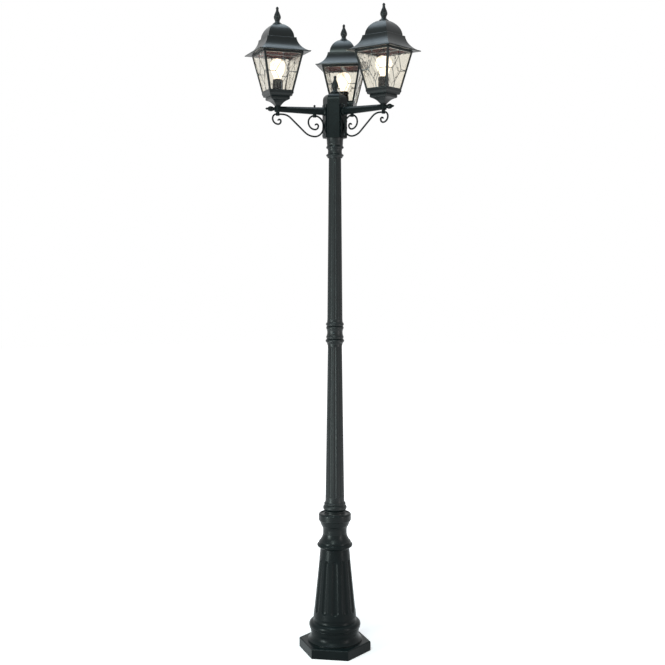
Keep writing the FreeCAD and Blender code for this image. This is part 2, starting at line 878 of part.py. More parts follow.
def set_screw(d, name, clearance, start, height):
    """A level set screw, or its hole, that starts at a radius and points out at the front."""
    screw = solid(
        "Cylinder", name, Radius=d.set_screw_radius + clearance, Height=d.set_screw_length
    )
    point_out(screw, start, height, FRONT)
    return screw


def point_out(thing, out, z, turn):
    """Lays a piece's own axis along a direction from the post's axis, and starts it a distance out."""
    turn_out(thing, out, 0, z, turn)
    outwards = FreeCAD.Rotation(FreeCAD.Vector(0, 1, 0), 90)
    upright = FreeCAD.Rotation(FreeCAD.Vector(0, 0, 1), turn)
    thing.Placement = FreeCAD.Placement(thing.Placement.Base, upright * outwards)


# ---- Hub and cap ----


def make_hub(d, base):
    """The hollow hexagonal hub with a recessed panel on each plain face and a cable hole behind each arm."""
    body = new_body("hub_casting")
    outline = new_sketch(body, "XY_Plane", "outline")
    draw(outline, hexagon(d.hub_side))
    pad(body, outline, d.hub_height)
    bore = new_sketch(body, "XZ_Plane", "bore")
    draw(bore, [
        (0, 0),
        (d.upper_post_head_radius + d.loose_gap, 0),
        (d.upper_post_head_radius + d.loose_gap, d.hub_floor),
        (d.hub_bore_radius, d.hub_floor),
        (d.hub_bore_radius, d.hub_height),
        (0, d.hub_height),
    ])
    boring = body.newObject("PartDesign::Groove", "hub_boring")
    boring.Profile = bore
    boring.ReferenceAxis = (bore, ["V_Axis"])
    boring.Angle = 360.0
    tools = [hub_panel(d, turn) for turn in HUB_PANEL_TURNS]
    for side, turn in LAMP_TURNS.items():
        tools += hub_holes(d, side, turn)
    hub = cut("hub", body, fuse("hub_cuts", tools))
    place(hub, z=base)
    node(hub, "hub")
    return base + d.hub_height


def hub_face(d):
    """The distance from the post's axis to a face of the hub."""
    return d.hub_side * math.cos(math.radians(30))


def hub_panel(d, turn):
    """The shallow block that sinks the panel of one plain face."""
    width = d.hub_side - d.panel_border * 2
    block = solid(
        "Box",
        f"hub_panel_{int(turn)}",
        Length=d.panel_depth * 2,
        Width=width,
        Height=d.hub_height - d.panel_border * 2,
    )
    turn_out(block, hub_face(d) - d.panel_depth, -width / 2, d.panel_border, turn)
    return block


def turn_out(thing, out, across, z, turn):
    """Puts an object a distance out from the axis and across, after turning it about the vertical."""
    c, s = math.cos(math.radians(turn)), math.sin(math.radians(turn))
    out, across = as_size(out), as_size(across)
    place(thing, x=out * c - across * s, y=out * s + across * c, z=z, turn=turn)


def hub_holes(d, side, turn):
    """The holes behind one arm: one for its cable and one for each plate screw."""
    cable = solid("Cylinder", f"hub_cable_hole_{side}", Radius=d.arm_bore_radius, Height=d.hub_side)
    point_out(cable, 0, d.arm_height, turn)
    holes = [cable]
    start = hub_face(d) + d.plate_thickness - d.screw_length
    for name, height in (("high", d.plate_screw_high), ("low", -d.plate_screw_low)):
        radius = d.screw_radius + d.thread_gap
        hole = solid("Cylinder", f"hub_{name}_hole_{side}", Radius=radius, Height=d.screw_length)
        point_out(hole, start, d.arm_height + height, turn)
        holes.append(hole)
    return holes


def make_cap(d, base):
    """The hub's domed cap with its spigot ring and the finial screwed into it."""
    top = d.cap_height + d.cap_boss_height
    body = new_body("hub_cap")
    outline = new_sketch(body, "XY_Plane", "outline")
    draw(outline, hexagon(d.hub_side))
    block = pad(body, outline, d.cap_height)
    rounding = body.newObject("PartDesign::Fillet", "cap_rounding_cut")
    rounding.Base = (block, edges_at(block, d.cap_height))
    bind(rounding, Radius=d.cap_rounding)
    boss = new_sketch(body, "XY_Plane", "boss")
    circle(boss, d.cap_boss_radius)
    pad(body, boss, top)
    ring = new_sketch(body, "XY_Plane", "ring")
    circle(ring, d.hub_bore_radius - d.loose_gap)
    circle(ring, d.hub_bore_radius - d.loose_gap - d.cap_spigot_wall)
    spigot = pad(body, ring, d.cap_spigot_depth)
    spigot.Reversed = True
    thread = new_sketch(body, "XY_Plane", "thread", offset=top)
    circle(thread, d.cap_screw_radius + d.thread_gap)
    hole = body.newObject("PartDesign::Pocket", "cap_thread_cut")
    hole.Profile = thread
    bind(hole, Length=d.cap_screw_depth + 1.0)
    place(body, z=base)
    node(body, "hub_cap")
    finial = turned("cap_finial", finial_outline(d, screw=True))
    place(finial, z=base + top)
    node(finial, "cap_finial")


def finial_outline(d, screw):
    """The teardrop finial. It stands on a screw of its own, or has a blind hole for a stud."""
    foot = d.finial_foot_height
    neck = foot + d.finial_neck_height
    drop = neck + d.finial_drop_height
    tip = drop + d.finial_tip_height
    shape = [
        (d.finial_foot_radius, 0),
        (d.finial_foot_radius, foot * 0.4),
        (d.finial_neck_radius, neck, -0.32),
        (d.finial_drop_radius, neck + d.finial_drop_height * 0.32, 0.1),
        (d.finial_waist_radius, drop, 0.12),
        (d.finial_ball_radius, drop + d.finial_tip_height * 0.45, 0.3),
        (d.finial_point_radius, tip, 0.3),
        (0, tip),
    ]
    if screw:
        return [(0, -d.cap_screw_depth), (d.cap_screw_radius, -d.cap_screw_depth), (d.cap_screw_radius, 0)] + shape
    hole = d.stud_radius + d.thread_gap
    return [(hole, 0)] + shape + [(0, d.stud_grip + 1.0), (hole, d.stud_grip + 1.0)]


# ---- Arms, scrolls and screws ----


def plate_outline(d):
    """The back plate, with a scalloped edge, as (across, height) about the arm's axis."""
    low = -d.plate_below
    rise = (d.plate_above + d.plate_below - 20.0) / d.plate_scallops
    half = [(d.plate_half_width - 9.0, low), (d.plate_half_width, low + 10.0, 0.35)]
    for i in range(int(d.plate_scallops.value)):
        half.append((d.plate_half_width, low + 10.0 + rise * (i + 1), -0.22))
    half.append((d.plate_half_width - 9.0, d.plate_above, 0.35))
    return both_sides(half)


def make_arm(d, base, side):
    """One arm: back plate, flared root, eight-sided bar, lantern boss, spear, knob and scroll lugs."""
    face = hub_face(d)
    front = face + d.plate_thickness
    lug_x = scroll_points(d)["inner_clamp"]
    plate = DOC.addObject("Part::Extrusion", f"plate_{side}")
    outline = DOC.addObject("Sketcher::SketchObject", f"plate_sketch_{side}")
    draw(outline, plate_outline(d))
    outline.Placement = FreeCAD.Placement(
        FreeCAD.Vector(face.value, 0, 0), FreeCAD.Rotation(FreeCAD.Vector(1, 1, 1), 120)
    )
    outline.setExpression("Placement.Base.x", face.formula)
    plate.Base = outline
    plate.DirMode = "Normal"
    plate.Solid = True
    bind(plate, LengthFwd=d.plate_thickness)
    root = turned(f"root_{side}", [
        (0, 0),
        (d.root_flare_radius, 0),
        (d.root_flare_radius, 2.0),
        (d.arm_root_radius * 0.8, d.root_flare_length, -0.3),
        (0, d.root_flare_length),
    ])
    place(root, x=front)
    lay_down(root)
    bar = eight_sided_bar(d, side, face, d.arm_reach)
    boss = upright_cylinder(
        f"boss_{side}", d.boss_radius, d.boss_rise + d.arm_tip_radius, x=d.arm_reach, z=-d.arm_tip_radius
    )
    spear = turned(f"spear_{side}", [
        (0, 0),
        (d.spear_neck_radius + 1.5, 0),
        (d.spear_neck_radius + 1.5, d.boss_radius + 2.0),
        (d.spear_neck_radius, d.boss_radius + 5.0, -0.3),
        (d.spear_bulb_radius, d.boss_radius + d.spear_length * 0.5, 0.2),
        (d.spear_neck_radius * 0.5, d.boss_radius + d.spear_length * 0.78, 0.25),
        (d.spear_neck_radius * 0.7, d.boss_radius + d.spear_length * 0.86, 0.5),
        (d.finial_point_radius, d.boss_radius + d.spear_length, 0.2),
        (0, d.boss_radius + d.spear_length),
    ])
    place(spear, x=d.arm_reach)
    lay_down(spear)
    lugs = [
        upright_cylinder(f"{name}_lug_{side}", d.lug_radius, d.lug_drop, x=x, z=-d.lug_drop)
        for name, x in (("inner", lug_x), ("outer", d.arm_reach))
    ]
    stalk = upright_cylinder(
        f"stalk_{side}", d.knob_radius * 0.6, d.arm_root_radius + d.knob_rise, x=lug_x
    )
    knob = solid("Sphere", f"knob_{side}", Radius=d.knob_radius)
    place(knob, x=lug_x, z=d.arm_root_radius + d.knob_rise)
    body = fuse(f"arm_solid_{side}", [plate, root, bar, boss, spear, *lugs, stalk, knob])
    holes = fuse(f"arm_holes_{side}", [
        level_cylinder(f"wireway_{side}", d.arm_bore_radius, d.arm_reach - face, x=face),
        upright_cylinder(
            f"stem_hole_{side}", d.stem_radius + d.thread_gap, d.boss_rise * 2, x=d.arm_reach, z=-d.boss_rise
        ),
        scroll_pipe(d, f"scroll_hole_{side}", d.scroll_bar_radius + d.loose_gap),
        *plate_screw_parts(d, f"screw_hole_{side}", d.screw_radius + d.thread_gap, front),
    ])
    arm = cut(f"arm_{side}", body, holes)
    place(arm, z=base + d.arm_height, turn=LAMP_TURNS[side])
    node(arm, f"arm_{side}")


def eight_sided_bar(d, side, start, end):
    """The tapered bar between the hub's face and the lantern's axis, with a flat on top."""
    sections = []
    for name, radius, x in (("root", d.arm_root_radius, start), ("tip", d.arm_tip_radius, end)):
        ring = DOC.addObject("Part::RegularPolygon", f"bar_{name}_{side}")
        ring.Polygon = 8
        bind(ring, Circumradius=radius)
        place(ring, x=x)
        across = FreeCAD.Rotation(FreeCAD.Vector(0, 1, 0), 90)
        eighth = FreeCAD.Rotation(FreeCAD.Vector(0, 0, 1), 22.5)
        ring.Placement = FreeCAD.Placement(ring.Placement.Base, across * eighth)
        sections.append(ring)
    bar = DOC.addObject("Part::Loft", f"bar_{side}")
    bar.Sections = sections
    bar.Solid = True
    bar.Ruled = True
    return bar


def plate_screw_parts(d, name, radius, front):
    """Two level cylinders through the back plate, at its two screws."""
    start = front - d.screw_length
    return [
        level_cylinder(f"{name}_high", radius, d.screw_length + 1.0, x=start, z=d.plate_screw_high),
        level_cylinder(f"{name}_low", radius, d.screw_length + 1.0, x=start, z=-d.plate_screw_low),
    ]


def scroll_points(d):
    """The places along the scroll that other pieces line up with."""
    turn = math.radians(SCROLL_SLOPE)
    bends = d.scroll_upper_bend + d.scroll_lower_bend
    wall = hub_face(d) + d.plate_thickness + d.scroll_bar_radius + d.loose_gap
    bottom = wall + d.scroll_corner
    slope_run = (d.arm_reach - d.scroll_run - bends * math.sin(turn) - bottom) / math.cos(turn)
    drop = bends * (1 - math.cos(turn)) + slope_run * math.sin(turn)
    return {
        "wall": wall,
        "bottom": bottom,
        "slope_run": slope_run,
        "drop": drop,
        "inner_clamp": bottom,
    }


def scroll_route(d):
    """The scroll's centre line in the arm's plane, from the tip of the outer curl to the inner one's."""
    turn = math.radians(SCROLL_SLOPE)
    lean = math.tan(turn / 4)
    top = -d.scroll_level
    spots = scroll_points(d)
    wall, bottom, drop = spots["wall"], spots["bottom"], spots["drop"]
    x, z = d.arm_reach + d.scroll_overrun, top
    outer = [(x, z)]
    curl = (
        d.outer_curl_radius,
        d.outer_curl_second,
        d.outer_curl_third,
        d.outer_curl_fourth,
        d.outer_curl_fifth,
    )
    for radius, (dx, dz) in zip(curl, CURL_STEPS):
        x, z = x + radius * dx, z + radius * dz
        outer.append((x, z))
    route = [outer[-1]] + [(*point, QUARTER) for point in outer[-2::-1]]
    x = d.arm_reach - d.scroll_run
    route.append((x, top))
    x, z = x - d.scroll_upper_bend * math.sin(turn), top - d.scroll_upper_bend * (1 - math.cos(turn))
    route.append((x, z, lean))
    x, z = x - spots["slope_run"] * math.cos(turn), z - spots["slope_run"] * math.sin(turn)
    route.append((x, z))
    route.append((bottom, top - drop, -lean))
    corner = bottom - wall
    route.append((wall, top - drop + corner, -QUARTER))
    route.append((wall, top - corner))
    x, z = bottom, top
    route.append((x, z, -QUARTER))
    curl = (
        d.inner_curl_radius,
        d.inner_curl_second,
        d.inner_curl_third,
        d.inner_curl_fourth,
        d.inner_curl_fifth,
    )
    for radius, (dx, dz) in zip(curl, CURL_STEPS):
        x, z = x + radius * dx, z + radius * dz
        route.append((x, z, -QUARTER))
    return route


def scroll_pipe(d, name, radius):
    """A round bar along the scroll's route."""
    body = new_body(name)
    route = scroll_route(d)
    path = new_sketch(body, "XZ_Plane", "path")
    draw(path, route, closed=False)
    section = new_sketch(body, "YZ_Plane", "section", offset=d.arm_reach - d.scroll_run / 2)
    circle(section, radius, y=-d.scroll_level)
    pipe = body.newObject("PartDesign::AdditivePipe", f"{name}_sweep")
    pipe.Profile = section
    pipe.Spine = (path, [""])
    return body


def make_scroll(d, base, side):
    """The bent bar under one arm."""
    scroll = scroll_pipe(d, f"scroll_{side}", d.scroll_bar_radius)
    place(scroll, z=base + d.arm_height, turn=LAMP_TURNS[side])
    node(scroll, f"scroll_{side}")


def make_plate_screws(d, base):
    """The six screws that hold the back plates to the hub."""
    screws = []
    front = hub_face(d) + d.plate_thickness
    for side, turn in LAMP_TURNS.items():
        for name, height in (("high", d.plate_screw_high), ("low", -d.plate_screw_low)):
            shank = level_cylinder(f"shank_{name}_{side}", d.screw_radius, d.screw_length, x=-d.screw_length)
            head = level_cylinder(f"head_{name}_{side}", d.screw_head_radius, d.screw_head_height)
            screw = fuse(f"screw_{name}_{side}", [shank, head])
            turn_out(screw, front, 0, base + d.arm_height + height, turn)
            screws.append(screw)
    node(compound("plate_screws", screws), "plate_screws")


# ---- Lanterns ----


def place_lamp(thing, d, side, z):
    """Puts a piece on one lantern's axis, with its sides square to the arm."""
    turn_out(thing, d.arm_reach, 0, z, LAMP_TURNS[side])


def gallery_levels(d):
    """Heights of the gallery's steps above the arm's boss: foot, ogee, step, flare and rim."""
    foot = d.gallery_foot_height
    ogee = foot + d.gallery_ogee_height
    step = ogee + d.gallery_step_height
    flare = step + d.gallery_flare_height
    rim = flare + d.gallery_rim_height
    return foot, ogee, step, flare, rim


def make_gallery(d, base, side):
    """The stepped square cup, hollow above its floor, with a hole for the stem."""
    foot, ogee, step, flare, rim = gallery_levels(d)
    outer = [
        (d.gallery_foot_half - 2.0, 0),
        (d.gallery_foot_half - 2.0, foot * 0.5),
        (d.gallery_foot_half, foot),
        (d.gallery_ogee_half, ogee, -0.18),
        (d.gallery_step_half, ogee + 2.0),
        (d.gallery_step_half, step, 0.12),
        (d.cage_foot_half - 4.0, step + 3.0),
        (d.cage_foot_half, flare, -0.2),
        (d.cage_foot_half, rim),
    ]
    wall = d.gallery_wall
    inner = [
        (d.gallery_ogee_half - wall, d.gallery_floor),
        (d.gallery_step_half - wall, step),
        (d.cage_foot_half - wall, flare),
        (d.cage_foot_half - wall, rim + 1.0),
    ]
    length = d.cage_foot_half * 4
    block = squared(f"gallery_block_{side}", outer, length)
    hollow = squared(f"gallery_hollow_{side}", inner, length)
    hole = upright_cylinder(f"gallery_hole_{side}", d.stem_radius + d.thread_gap, rim)
    gallery = cut(f"gallery_{side}", block, fuse(f"gallery_cuts_{side}", [hollow, hole]))
    place_lamp(gallery, d, side, base)
    node(gallery, f"gallery_{side}")
    return rim


def cage_half(d, height):
    """Half the width of the cage's outside at a height above its foot."""
    return d.cage_foot_half + (d.cage_head_half - d.cage_foot_half) * height / d.cage_height


def tapered(d, inset, low, high):
    """A half outline that follows the cage's outside, inset by a distance, between two heights."""
    return [(cage_half(d, low) - inset, low), (cage_half(d, high) - inset, high)]


def make_cage(d, base, side):
    """The tapered frame: four corner angles, two rails, and a lip inside each rail."""
    length = d.cage_head_half * 4
    zero = as_size(0)
    block = squared(f"cage_block_{side}", tapered(d, zero, zero, d.cage_height), length)
    inside = tapered(d, d.cage_wall, d.cage_lip_thickness, d.cage_height - d.cage_lip_thickness)
    hollow = squared(f"cage_hollow_{side}", inside, length)
    mouth = squared(
        f"cage_mouth_{side}", tapered(d, d.cage_lip, -as_size(1), d.cage_height + 1.0), length
    )
    window = tapered(d, d.cage_post_width, d.cage_foot_rail, d.cage_height - d.cage_head_rail)
    windows = crossed(f"cage_window_{side}", both_sides(window), length)
    cage = cut(f"cage_{side}", block, fuse(f"cage_cuts_{side}", [hollow, mouth, *windows]))
    place_lamp(cage, d, side, base)
    node(cage, f"cage_{side}")


def pane_levels(d):
    """Heights of a pane's lower and upper edge above the cage's foot."""
    low = d.cage_lip_thickness
    high = d.cage_height - d.cage_lip_thickness - d.strap_thickness - d.loose_gap * 2
    return low, high


def make_panes(d, base, side):
    """The four sloping panes, parted along the cage's diagonals."""
    low, high = pane_levels(d)
    length = d.cage_head_half * 4
    inset = d.cage_wall + d.loose_gap
    outside = squared(f"pane_outside_{side}", tapered(d, inset, low, high), length)
    inner = tapered(d, inset + d.pane_thickness, low - 1.0, high + 1.0)
    inside = squared(f"pane_inside_{side}", inner, length)
    parting = [mitre_cut(d, f"pane_mitre_{turn}_{side}", turn, high) for turn in (45, 135)]
    panes = cut(f"panes_{side}", outside, fuse(f"pane_cuts_{side}", [inside, *parting]))
    place_lamp(panes, d, side, base)
    node(panes, f"panes_{side}")


def mitre_cut(d, name, turn, height):
    """A thin upright slab through the lantern's axis that parts the panes at two corners."""
    length = d.cage_head_half * 4
    slab = solid("Box", name, Length=length, Width=d.loose_gap, Height=height + 2.0)
    turn_out(slab, -length / 2, -d.loose_gap / 2, -1.0, turn)
    return slab


def came_outline(d):
    """The outside of the leading: a diamond with a bar from each corner to the cage's frame."""
    low, high = d.cage_foot_rail + d.loose_gap, d.cage_height - d.cage_head_rail - d.loose_gap
    middle = (low + high) / 2
    half = d.came_width / 2
    wide, tall = d.diamond_half_width + half, d.diamond_half_height + half
    reach = cage_half(d, middle - half) - d.cage_post_width - d.loose_gap
    rise = tall - tall * half / wide
    run = wide - wide * half / tall
    right = [(half, low), (half, middle - rise), (run, middle - half), (reach, middle - half)]
    right += [(reach, middle + half), (run, middle + half), (half, middle + rise), (half, high)]
    return both_sides(right)


def diamond_outline(d):
    """The diamond's open inside."""
    middle = (d.cage_foot_rail + d.cage_height - d.cage_head_rail) / 2
    half = d.came_width / 2
    wide, tall = d.diamond_half_width - half, d.diamond_half_height - half
    return [(0, middle - tall), (wide, middle), (0, middle + tall), (-wide, middle)]


def make_leading(d, base, side):
    """The lead cames on the outer face of each pane."""
    low, high = d.cage_foot_rail, d.cage_height - d.cage_head_rail
    length = d.cage_head_half * 4
    inset = d.cage_wall + d.loose_gap
    outside = squared(f"came_outside_{side}", tapered(d, inset - d.came_height, low, high), length)
    inside = squared(f"came_inside_{side}", tapered(d, inset, low - 1.0, high + 1.0), length)
    skin = cut(f"came_skin_{side}", outside, inside)
    bars = crossed(f"came_bars_{side}", came_outline(d), length)
    holes = crossed(f"came_holes_{side}", diamond_outline(d), length)
    grids = [cut(f"came_grid_{i}_{side}", bar, hole) for i, (bar, hole) in enumerate(zip(bars, holes))]
    leading = common(f"leading_{side}", [skin, fuse(f"came_grids_{side}", grids)])
    place_lamp(leading, d, side, base)
    node(leading, f"leading_{side}")


def make_stem(d, base, side):
    """The threaded tube that holds the gallery and the lampholder on the arm's boss."""
    depth = d.boss_rise - 1.0
    tube = turned(f"stem_{side}", [
        (d.stem_bore_radius, -depth),
        (d.stem_radius, -depth),
        (d.stem_radius, d.gallery_floor + 8.0),
        (d.stem_bore_radius, d.gallery_floor + 8.0),
    ])
    place_lamp(tube, d, side, base)
    node(tube, f"stem_{side}")


def make_lampholder(d, base, side):
    """The round lampholder on the gallery's floor. Returns the height of its mouth."""
    floor = d.gallery_floor
    mouth = floor + d.holder_height
    well = mouth - d.lamp_cap_height - 1.0
    holder = turned(f"lampholder_{side}", [
        (d.stem_radius + d.thread_gap, floor),
        (d.holder_radius + 1.5, floor),
        (d.holder_radius + 1.5, floor + 12.0),
        (d.holder_radius, floor + 14.0),
        (d.holder_radius, mouth - 2.0),
        (d.holder_radius - 2.0, mouth, 0.41),
        (d.holder_bore_radius, mouth),
        (d.holder_bore_radius, well),
        (d.stem_radius + d.thread_gap, well),
    ])
    place_lamp(holder, d, side, base)
    node(holder, f"lampholder_{side}")
    return mouth


def make_lamp(d, base, side):
    """The lamp: its metal cap, down in the lampholder, and its blown glass."""
    cap = turned(f"lamp_cap_{side}", [
        (0, -d.lamp_cap_height),
        (4.5, -d.lamp_cap_height),
        (4.5, -d.lamp_cap_height + 1.5),
        (d.lamp_cap_radius - 3.0, -d.lamp_cap_height + 4.0),
        (d.lamp_cap_radius, -d.lamp_cap_height + 7.0),
        (d.lamp_cap_radius, 0),
        (0, 0),
    ])
    place_lamp(cap, d, side, base)
    node(cap, f"lamp_cap_{side}")
    widest = d.lamp_height - d.lamp_radius
    glass = turned(f"lamp_glass_{side}", [
        (0, 0),
        (d.lamp_cap_radius, 0),
        (d.lamp_neck_radius, d.lamp_neck_height * 0.35),
        (d.lamp_radius, widest, -0.05),
        (2.0, d.lamp_height, 0.4),
        (0, d.lamp_height),
        (0, d.lamp_height - d.lamp_glass_wall),
        (2.0, d.lamp_height - d.lamp_glass_wall),
        (d.lamp_radius - d.lamp_glass_wall, widest, -0.4),
        (d.lamp_neck_radius - d.lamp_glass_wall, d.lamp_neck_height * 0.35, 0.05),
        (d.lamp_cap_radius - d.lamp_glass_wall, d.lamp_glass_wall),
        (0, d.lamp_glass_wall),
    ])
    place_lamp(glass, d, side, base)
    node(glass, f"lamp_glass_{side}")


def make_bridge(d, base, side, roof_top):
    """The strap under the cage's upper lip, with the stud that runs up through the roof."""
    top = d.cage_height - d.cage_lip_thickness
    half = cage_half(d, top - d.strap_thickness) - d.cage_wall - d.loose_gap
    strap = solid("Box", f"strap_{side}", Length=half * 2, Width=d.strap_width, Height=d.strap_thickness)
    turn_out(strap, -half, -d.strap_width / 2, top - d.strap_thickness, 0.0)
    stud = upright_cylinder(
        f"stud_{side}", d.stud_radius, roof_top + d.stud_grip - top + 1.0, z=top - 1.0
    )
    bridge = fuse(f"bridge_{side}", [strap, stud])
    place_lamp(bridge, d, side, base)
    node(bridge, f"bridge_{side}")


def roof_height(d):
    return d.eave_thickness + d.skirt_height + d.ledge_height + d.dome_height


def make_roof(d, base, side):
    """The hollow four-sided roof with a flat soffit that rests on the cage."""
    skirt = d.eave_thickness + d.skirt_height
    ledge = skirt + d.ledge_height
    top = roof_height(d)
    outer = [
        (d.eave_half, 0),
        (d.eave_half, d.eave_thickness * 0.7),
        (d.skirt_foot_half, d.eave_thickness),
        (d.skirt_head_half, skirt, -0.24),
        (d.skirt_head_half - 1.0, ledge, 0.4),
        (d.dome_foot_half, ledge + 1.0),
        (d.dome_head_half, top, 0.27),
    ]
    wall = d.roof_wall
    inner = [
        (d.soffit_half, -1.0),
        (d.soffit_half, wall),
        (d.skirt_head_half - wall, skirt - wall, -0.2),
        (d.dome_foot_half - wall, ledge),
        (d.dome_head_half - wall, top - wall, 0.27),
    ]
    length = d.eave_half * 4
    block = squared(f"roof_block_{side}", outer, length)
    hollow = squared(f"roof_hollow_{side}", inner, length)
    hole = upright_cylinder(f"roof_hole_{side}", d.stud_radius + d.loose_gap, top + 1.0)
    roof = cut(f"roof_{side}", block, fuse(f"roof_cuts_{side}", [hollow, hole]))
    place_lamp(roof, d, side, base)
    node(roof, f"roof_{side}")
    finial = turned(f"finial_{side}", finial_outline(d, screw=False))
    place_lamp(finial, d, side, base + top)
    node(finial, f"finial_{side}")


def make_lantern(d, boss, side):
    """One lantern, from the stem in the arm's boss to the finial."""
    make_stem(d, boss, side)
    rim = make_gallery(d, boss, side)
    mouth = make_lampholder(d, boss, side)
    make_lamp(d, boss + mouth, side)
    cage = boss + rim
    make_cage(d, cage, side)
    make_panes(d, cage, side)
    make_leading(d, cage, side)
    make_bridge(d, cage, side, d.cage_height + roof_height(d))
    make_roof(d, cage + d.cage_height, side)


# ---- The whole lamp post ----


def build():
    d = Sheet(SIZES)
    foot_top = make_foot(d)
    column_top = make_column(d, foot_top)
    cup_top = make_cup(d, column_top)
    lower_top = make_lower_post(d, cup_top)
    mid_top, mid_screw = make_mid_collar(d, lower_top)
    upper_top = make_upper_post(d, mid_top)
    hub_base, top_screw = make_top_collar(d, upper_top)
    node(compound("set_screws", [mid_screw, top_screw]), "set_screws")
    cap_base = make_hub(d, hub_base)
    make_cap(d, cap_base)
    boss = hub_base + d.arm_height + d.boss_rise
    for side in LAMP_TURNS:
        make_arm(d, hub_base, side)
        make_scroll(d, hub_base, side)
        make_lantern(d, boss, side)
    make_plate_screws(d, hub_base)


def check():
    """Stops with the names of objects that failed and of pieces whose shape is empty or invalid."""
    failed = [o.Name for o in DOC.Objects if {"Invalid", "Error"} & set(o.State)]
    broken = [n.Label for n in NODES if n.Shape.isNull() or not n.Shape.isValid()]
    if failed or broken:
        raise RuntimeError(f"objects that failed: {failed}; pieces with no good shape: {broken}")


def export():
    """Writes one STEP file for each piece."""
    os.makedirs("parts", exist_ok=True)
    for piece in NODES:
        piece.Shape.exportStep(f"parts/{piece.Label}.step")


build()
DOC.recompute()
check()
export()
print(len(NODES), "pieces")
for piece in NODES:
    box = piece.Shape.BoundBox
    print(f"{piece.Label:20s} {len(piece.Shape.Solids)} solids z {box.ZMin:8.1f} {box.ZMax:8.1f}"
          f" size {box.XLength:7.1f} {box.YLength:7.1f} volume {piece.Shape.Volume / 1000:9.1f} cm3")
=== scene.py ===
import json
import logging
import math
from dataclasses import dataclass
from enum import Enum
from typing import Sequence

import bmesh
import bpy
from mathutils import Matrix, Vector

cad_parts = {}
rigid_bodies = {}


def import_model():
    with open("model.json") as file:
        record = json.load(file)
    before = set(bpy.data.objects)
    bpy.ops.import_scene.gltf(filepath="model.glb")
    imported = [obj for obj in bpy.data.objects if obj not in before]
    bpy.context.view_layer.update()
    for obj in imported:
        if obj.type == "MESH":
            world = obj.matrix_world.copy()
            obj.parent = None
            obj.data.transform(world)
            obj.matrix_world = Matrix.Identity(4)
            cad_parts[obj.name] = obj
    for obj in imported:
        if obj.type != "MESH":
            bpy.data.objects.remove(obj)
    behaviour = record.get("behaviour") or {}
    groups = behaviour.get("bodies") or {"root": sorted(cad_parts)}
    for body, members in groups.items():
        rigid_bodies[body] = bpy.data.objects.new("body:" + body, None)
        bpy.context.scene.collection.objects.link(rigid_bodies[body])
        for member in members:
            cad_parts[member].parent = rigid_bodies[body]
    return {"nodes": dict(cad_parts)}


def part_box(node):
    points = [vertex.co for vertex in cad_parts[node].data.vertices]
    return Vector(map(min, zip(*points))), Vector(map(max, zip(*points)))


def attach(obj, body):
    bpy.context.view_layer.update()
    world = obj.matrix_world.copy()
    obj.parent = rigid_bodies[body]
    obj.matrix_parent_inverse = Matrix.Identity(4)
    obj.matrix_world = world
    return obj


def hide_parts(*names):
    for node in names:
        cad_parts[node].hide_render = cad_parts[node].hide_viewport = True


# A triple head lamp post: cast aluminium in satin green-black paint, leaded lanterns with rippled glass
# and lit opal lamps. Sizes are in millimetres, and meshes are in metres in the part's own frame.

LOG = logging.getLogger("lamp_post")
MM = 0.001
UP = Vector((0.0, 0.0, 1.0))
FRONT = Vector((0.0, -1.0, 0.0))
# Corners of a casting that are nearer than this, in metres, become one
WELD = 2e-6
# A casting's edges that turn more than this are rounded
SHARP = math.radians(32.0)
# A turned ring with a smaller radius than this, in millimetres, is a point on the axis
ON_AXIS = 1e-6
# Most of a noise's values are in this span
NOISE_SPAN = (0.3, 0.7)
# A Mix node's colour sockets, which share their names with its sockets for plain values
COLOUR_A, COLOUR_B, COLOUR_RESULT = 6, 7, 2
Point = tuple[float, float]
Span = tuple[float, float]
Tree = bpy.types.NodeTree
Socket = bpy.types.NodeSocket
Mesh = bpy.types.Mesh
Thing = bpy.types.Object
Shape = bmesh.types.BMesh
# The name of each CAD node's object, filled when the frame is loaded
NODE_OBJECTS: dict[str, str] = {}


class Side(Enum):
    """The three arms: each one's word in the names of its nodes, and its direction in degrees from +X."""

    RIGHT = ("right", -30.0)
    REAR = ("rear", 90.0)
    LEFT = ("left", 210.0)

    @property
    def turn(self) -> float:
        """The arm's direction in radians."""
        return math.radians(self.value[1])

    def node(self, piece: str) -> str:
        """The name of this side's copy of a piece."""
        return f"{piece}_{self.value[0]}"

    def along(self, out: float, across: float, height: float) -> Vector:
        """A point in the frame, in metres, from distances along, across and up in millimetres."""
        cos, sin = math.cos(self.turn), math.sin(self.turn)
        return Vector((out * cos - across * sin, out * sin + across * cos, height)) * MM


# ---- Nodes ----


def linear(code: str) -> tuple[float, float, float, float]:
    """Turns an sRGB hex colour to linear.

    Args:
        code: The colour as "#rrggbb".

    Returns:
        Red, green, blue and an alpha of 1.
    """
    parts = [int(code[i : i + 2], 16) / 255 for i in (1, 3, 5)]
    red, green, blue = (c / 12.92 if c <= 0.04045 else ((c + 0.055) / 1.055) ** 2.4 for c in parts)
    return red, green, blue, 1.0


def add_node(tree: Tree, kind: str, inputs: dict | None = None, **settings: object) -> bpy.types.Node:
    """Adds a node to a tree with its settings, input values and links.

    Args:
        tree: The shader or geometry tree.
        kind: The node's type name.
        inputs: Values or sockets by input name or index.
        **settings: Properties of the node.

    Returns:
        The new node.
    """
    made = tree.nodes.new(kind)
    for name, value in settings.items():
        setattr(made, name, value)
    for key, value in (inputs or {}).items():
        socket = made.inputs[key]
        if isinstance(value, Socket):
            tree.links.new(value, socket)
        else:
            socket.default_value = value
    return made


def empty_tree(owner: bpy.types.Material | bpy.types.World) -> Tree:
    """Gives a material or a world an empty node tree."""
    owner.use_nodes = True
    owner.node_tree.nodes.clear()
    return owner.node_tree


def object_place(tree: Tree) -> Socket:
    """The place of a shaded point in its object's own frame."""
    return add_node(tree, "ShaderNodeTexCoord").outputs["Object"]


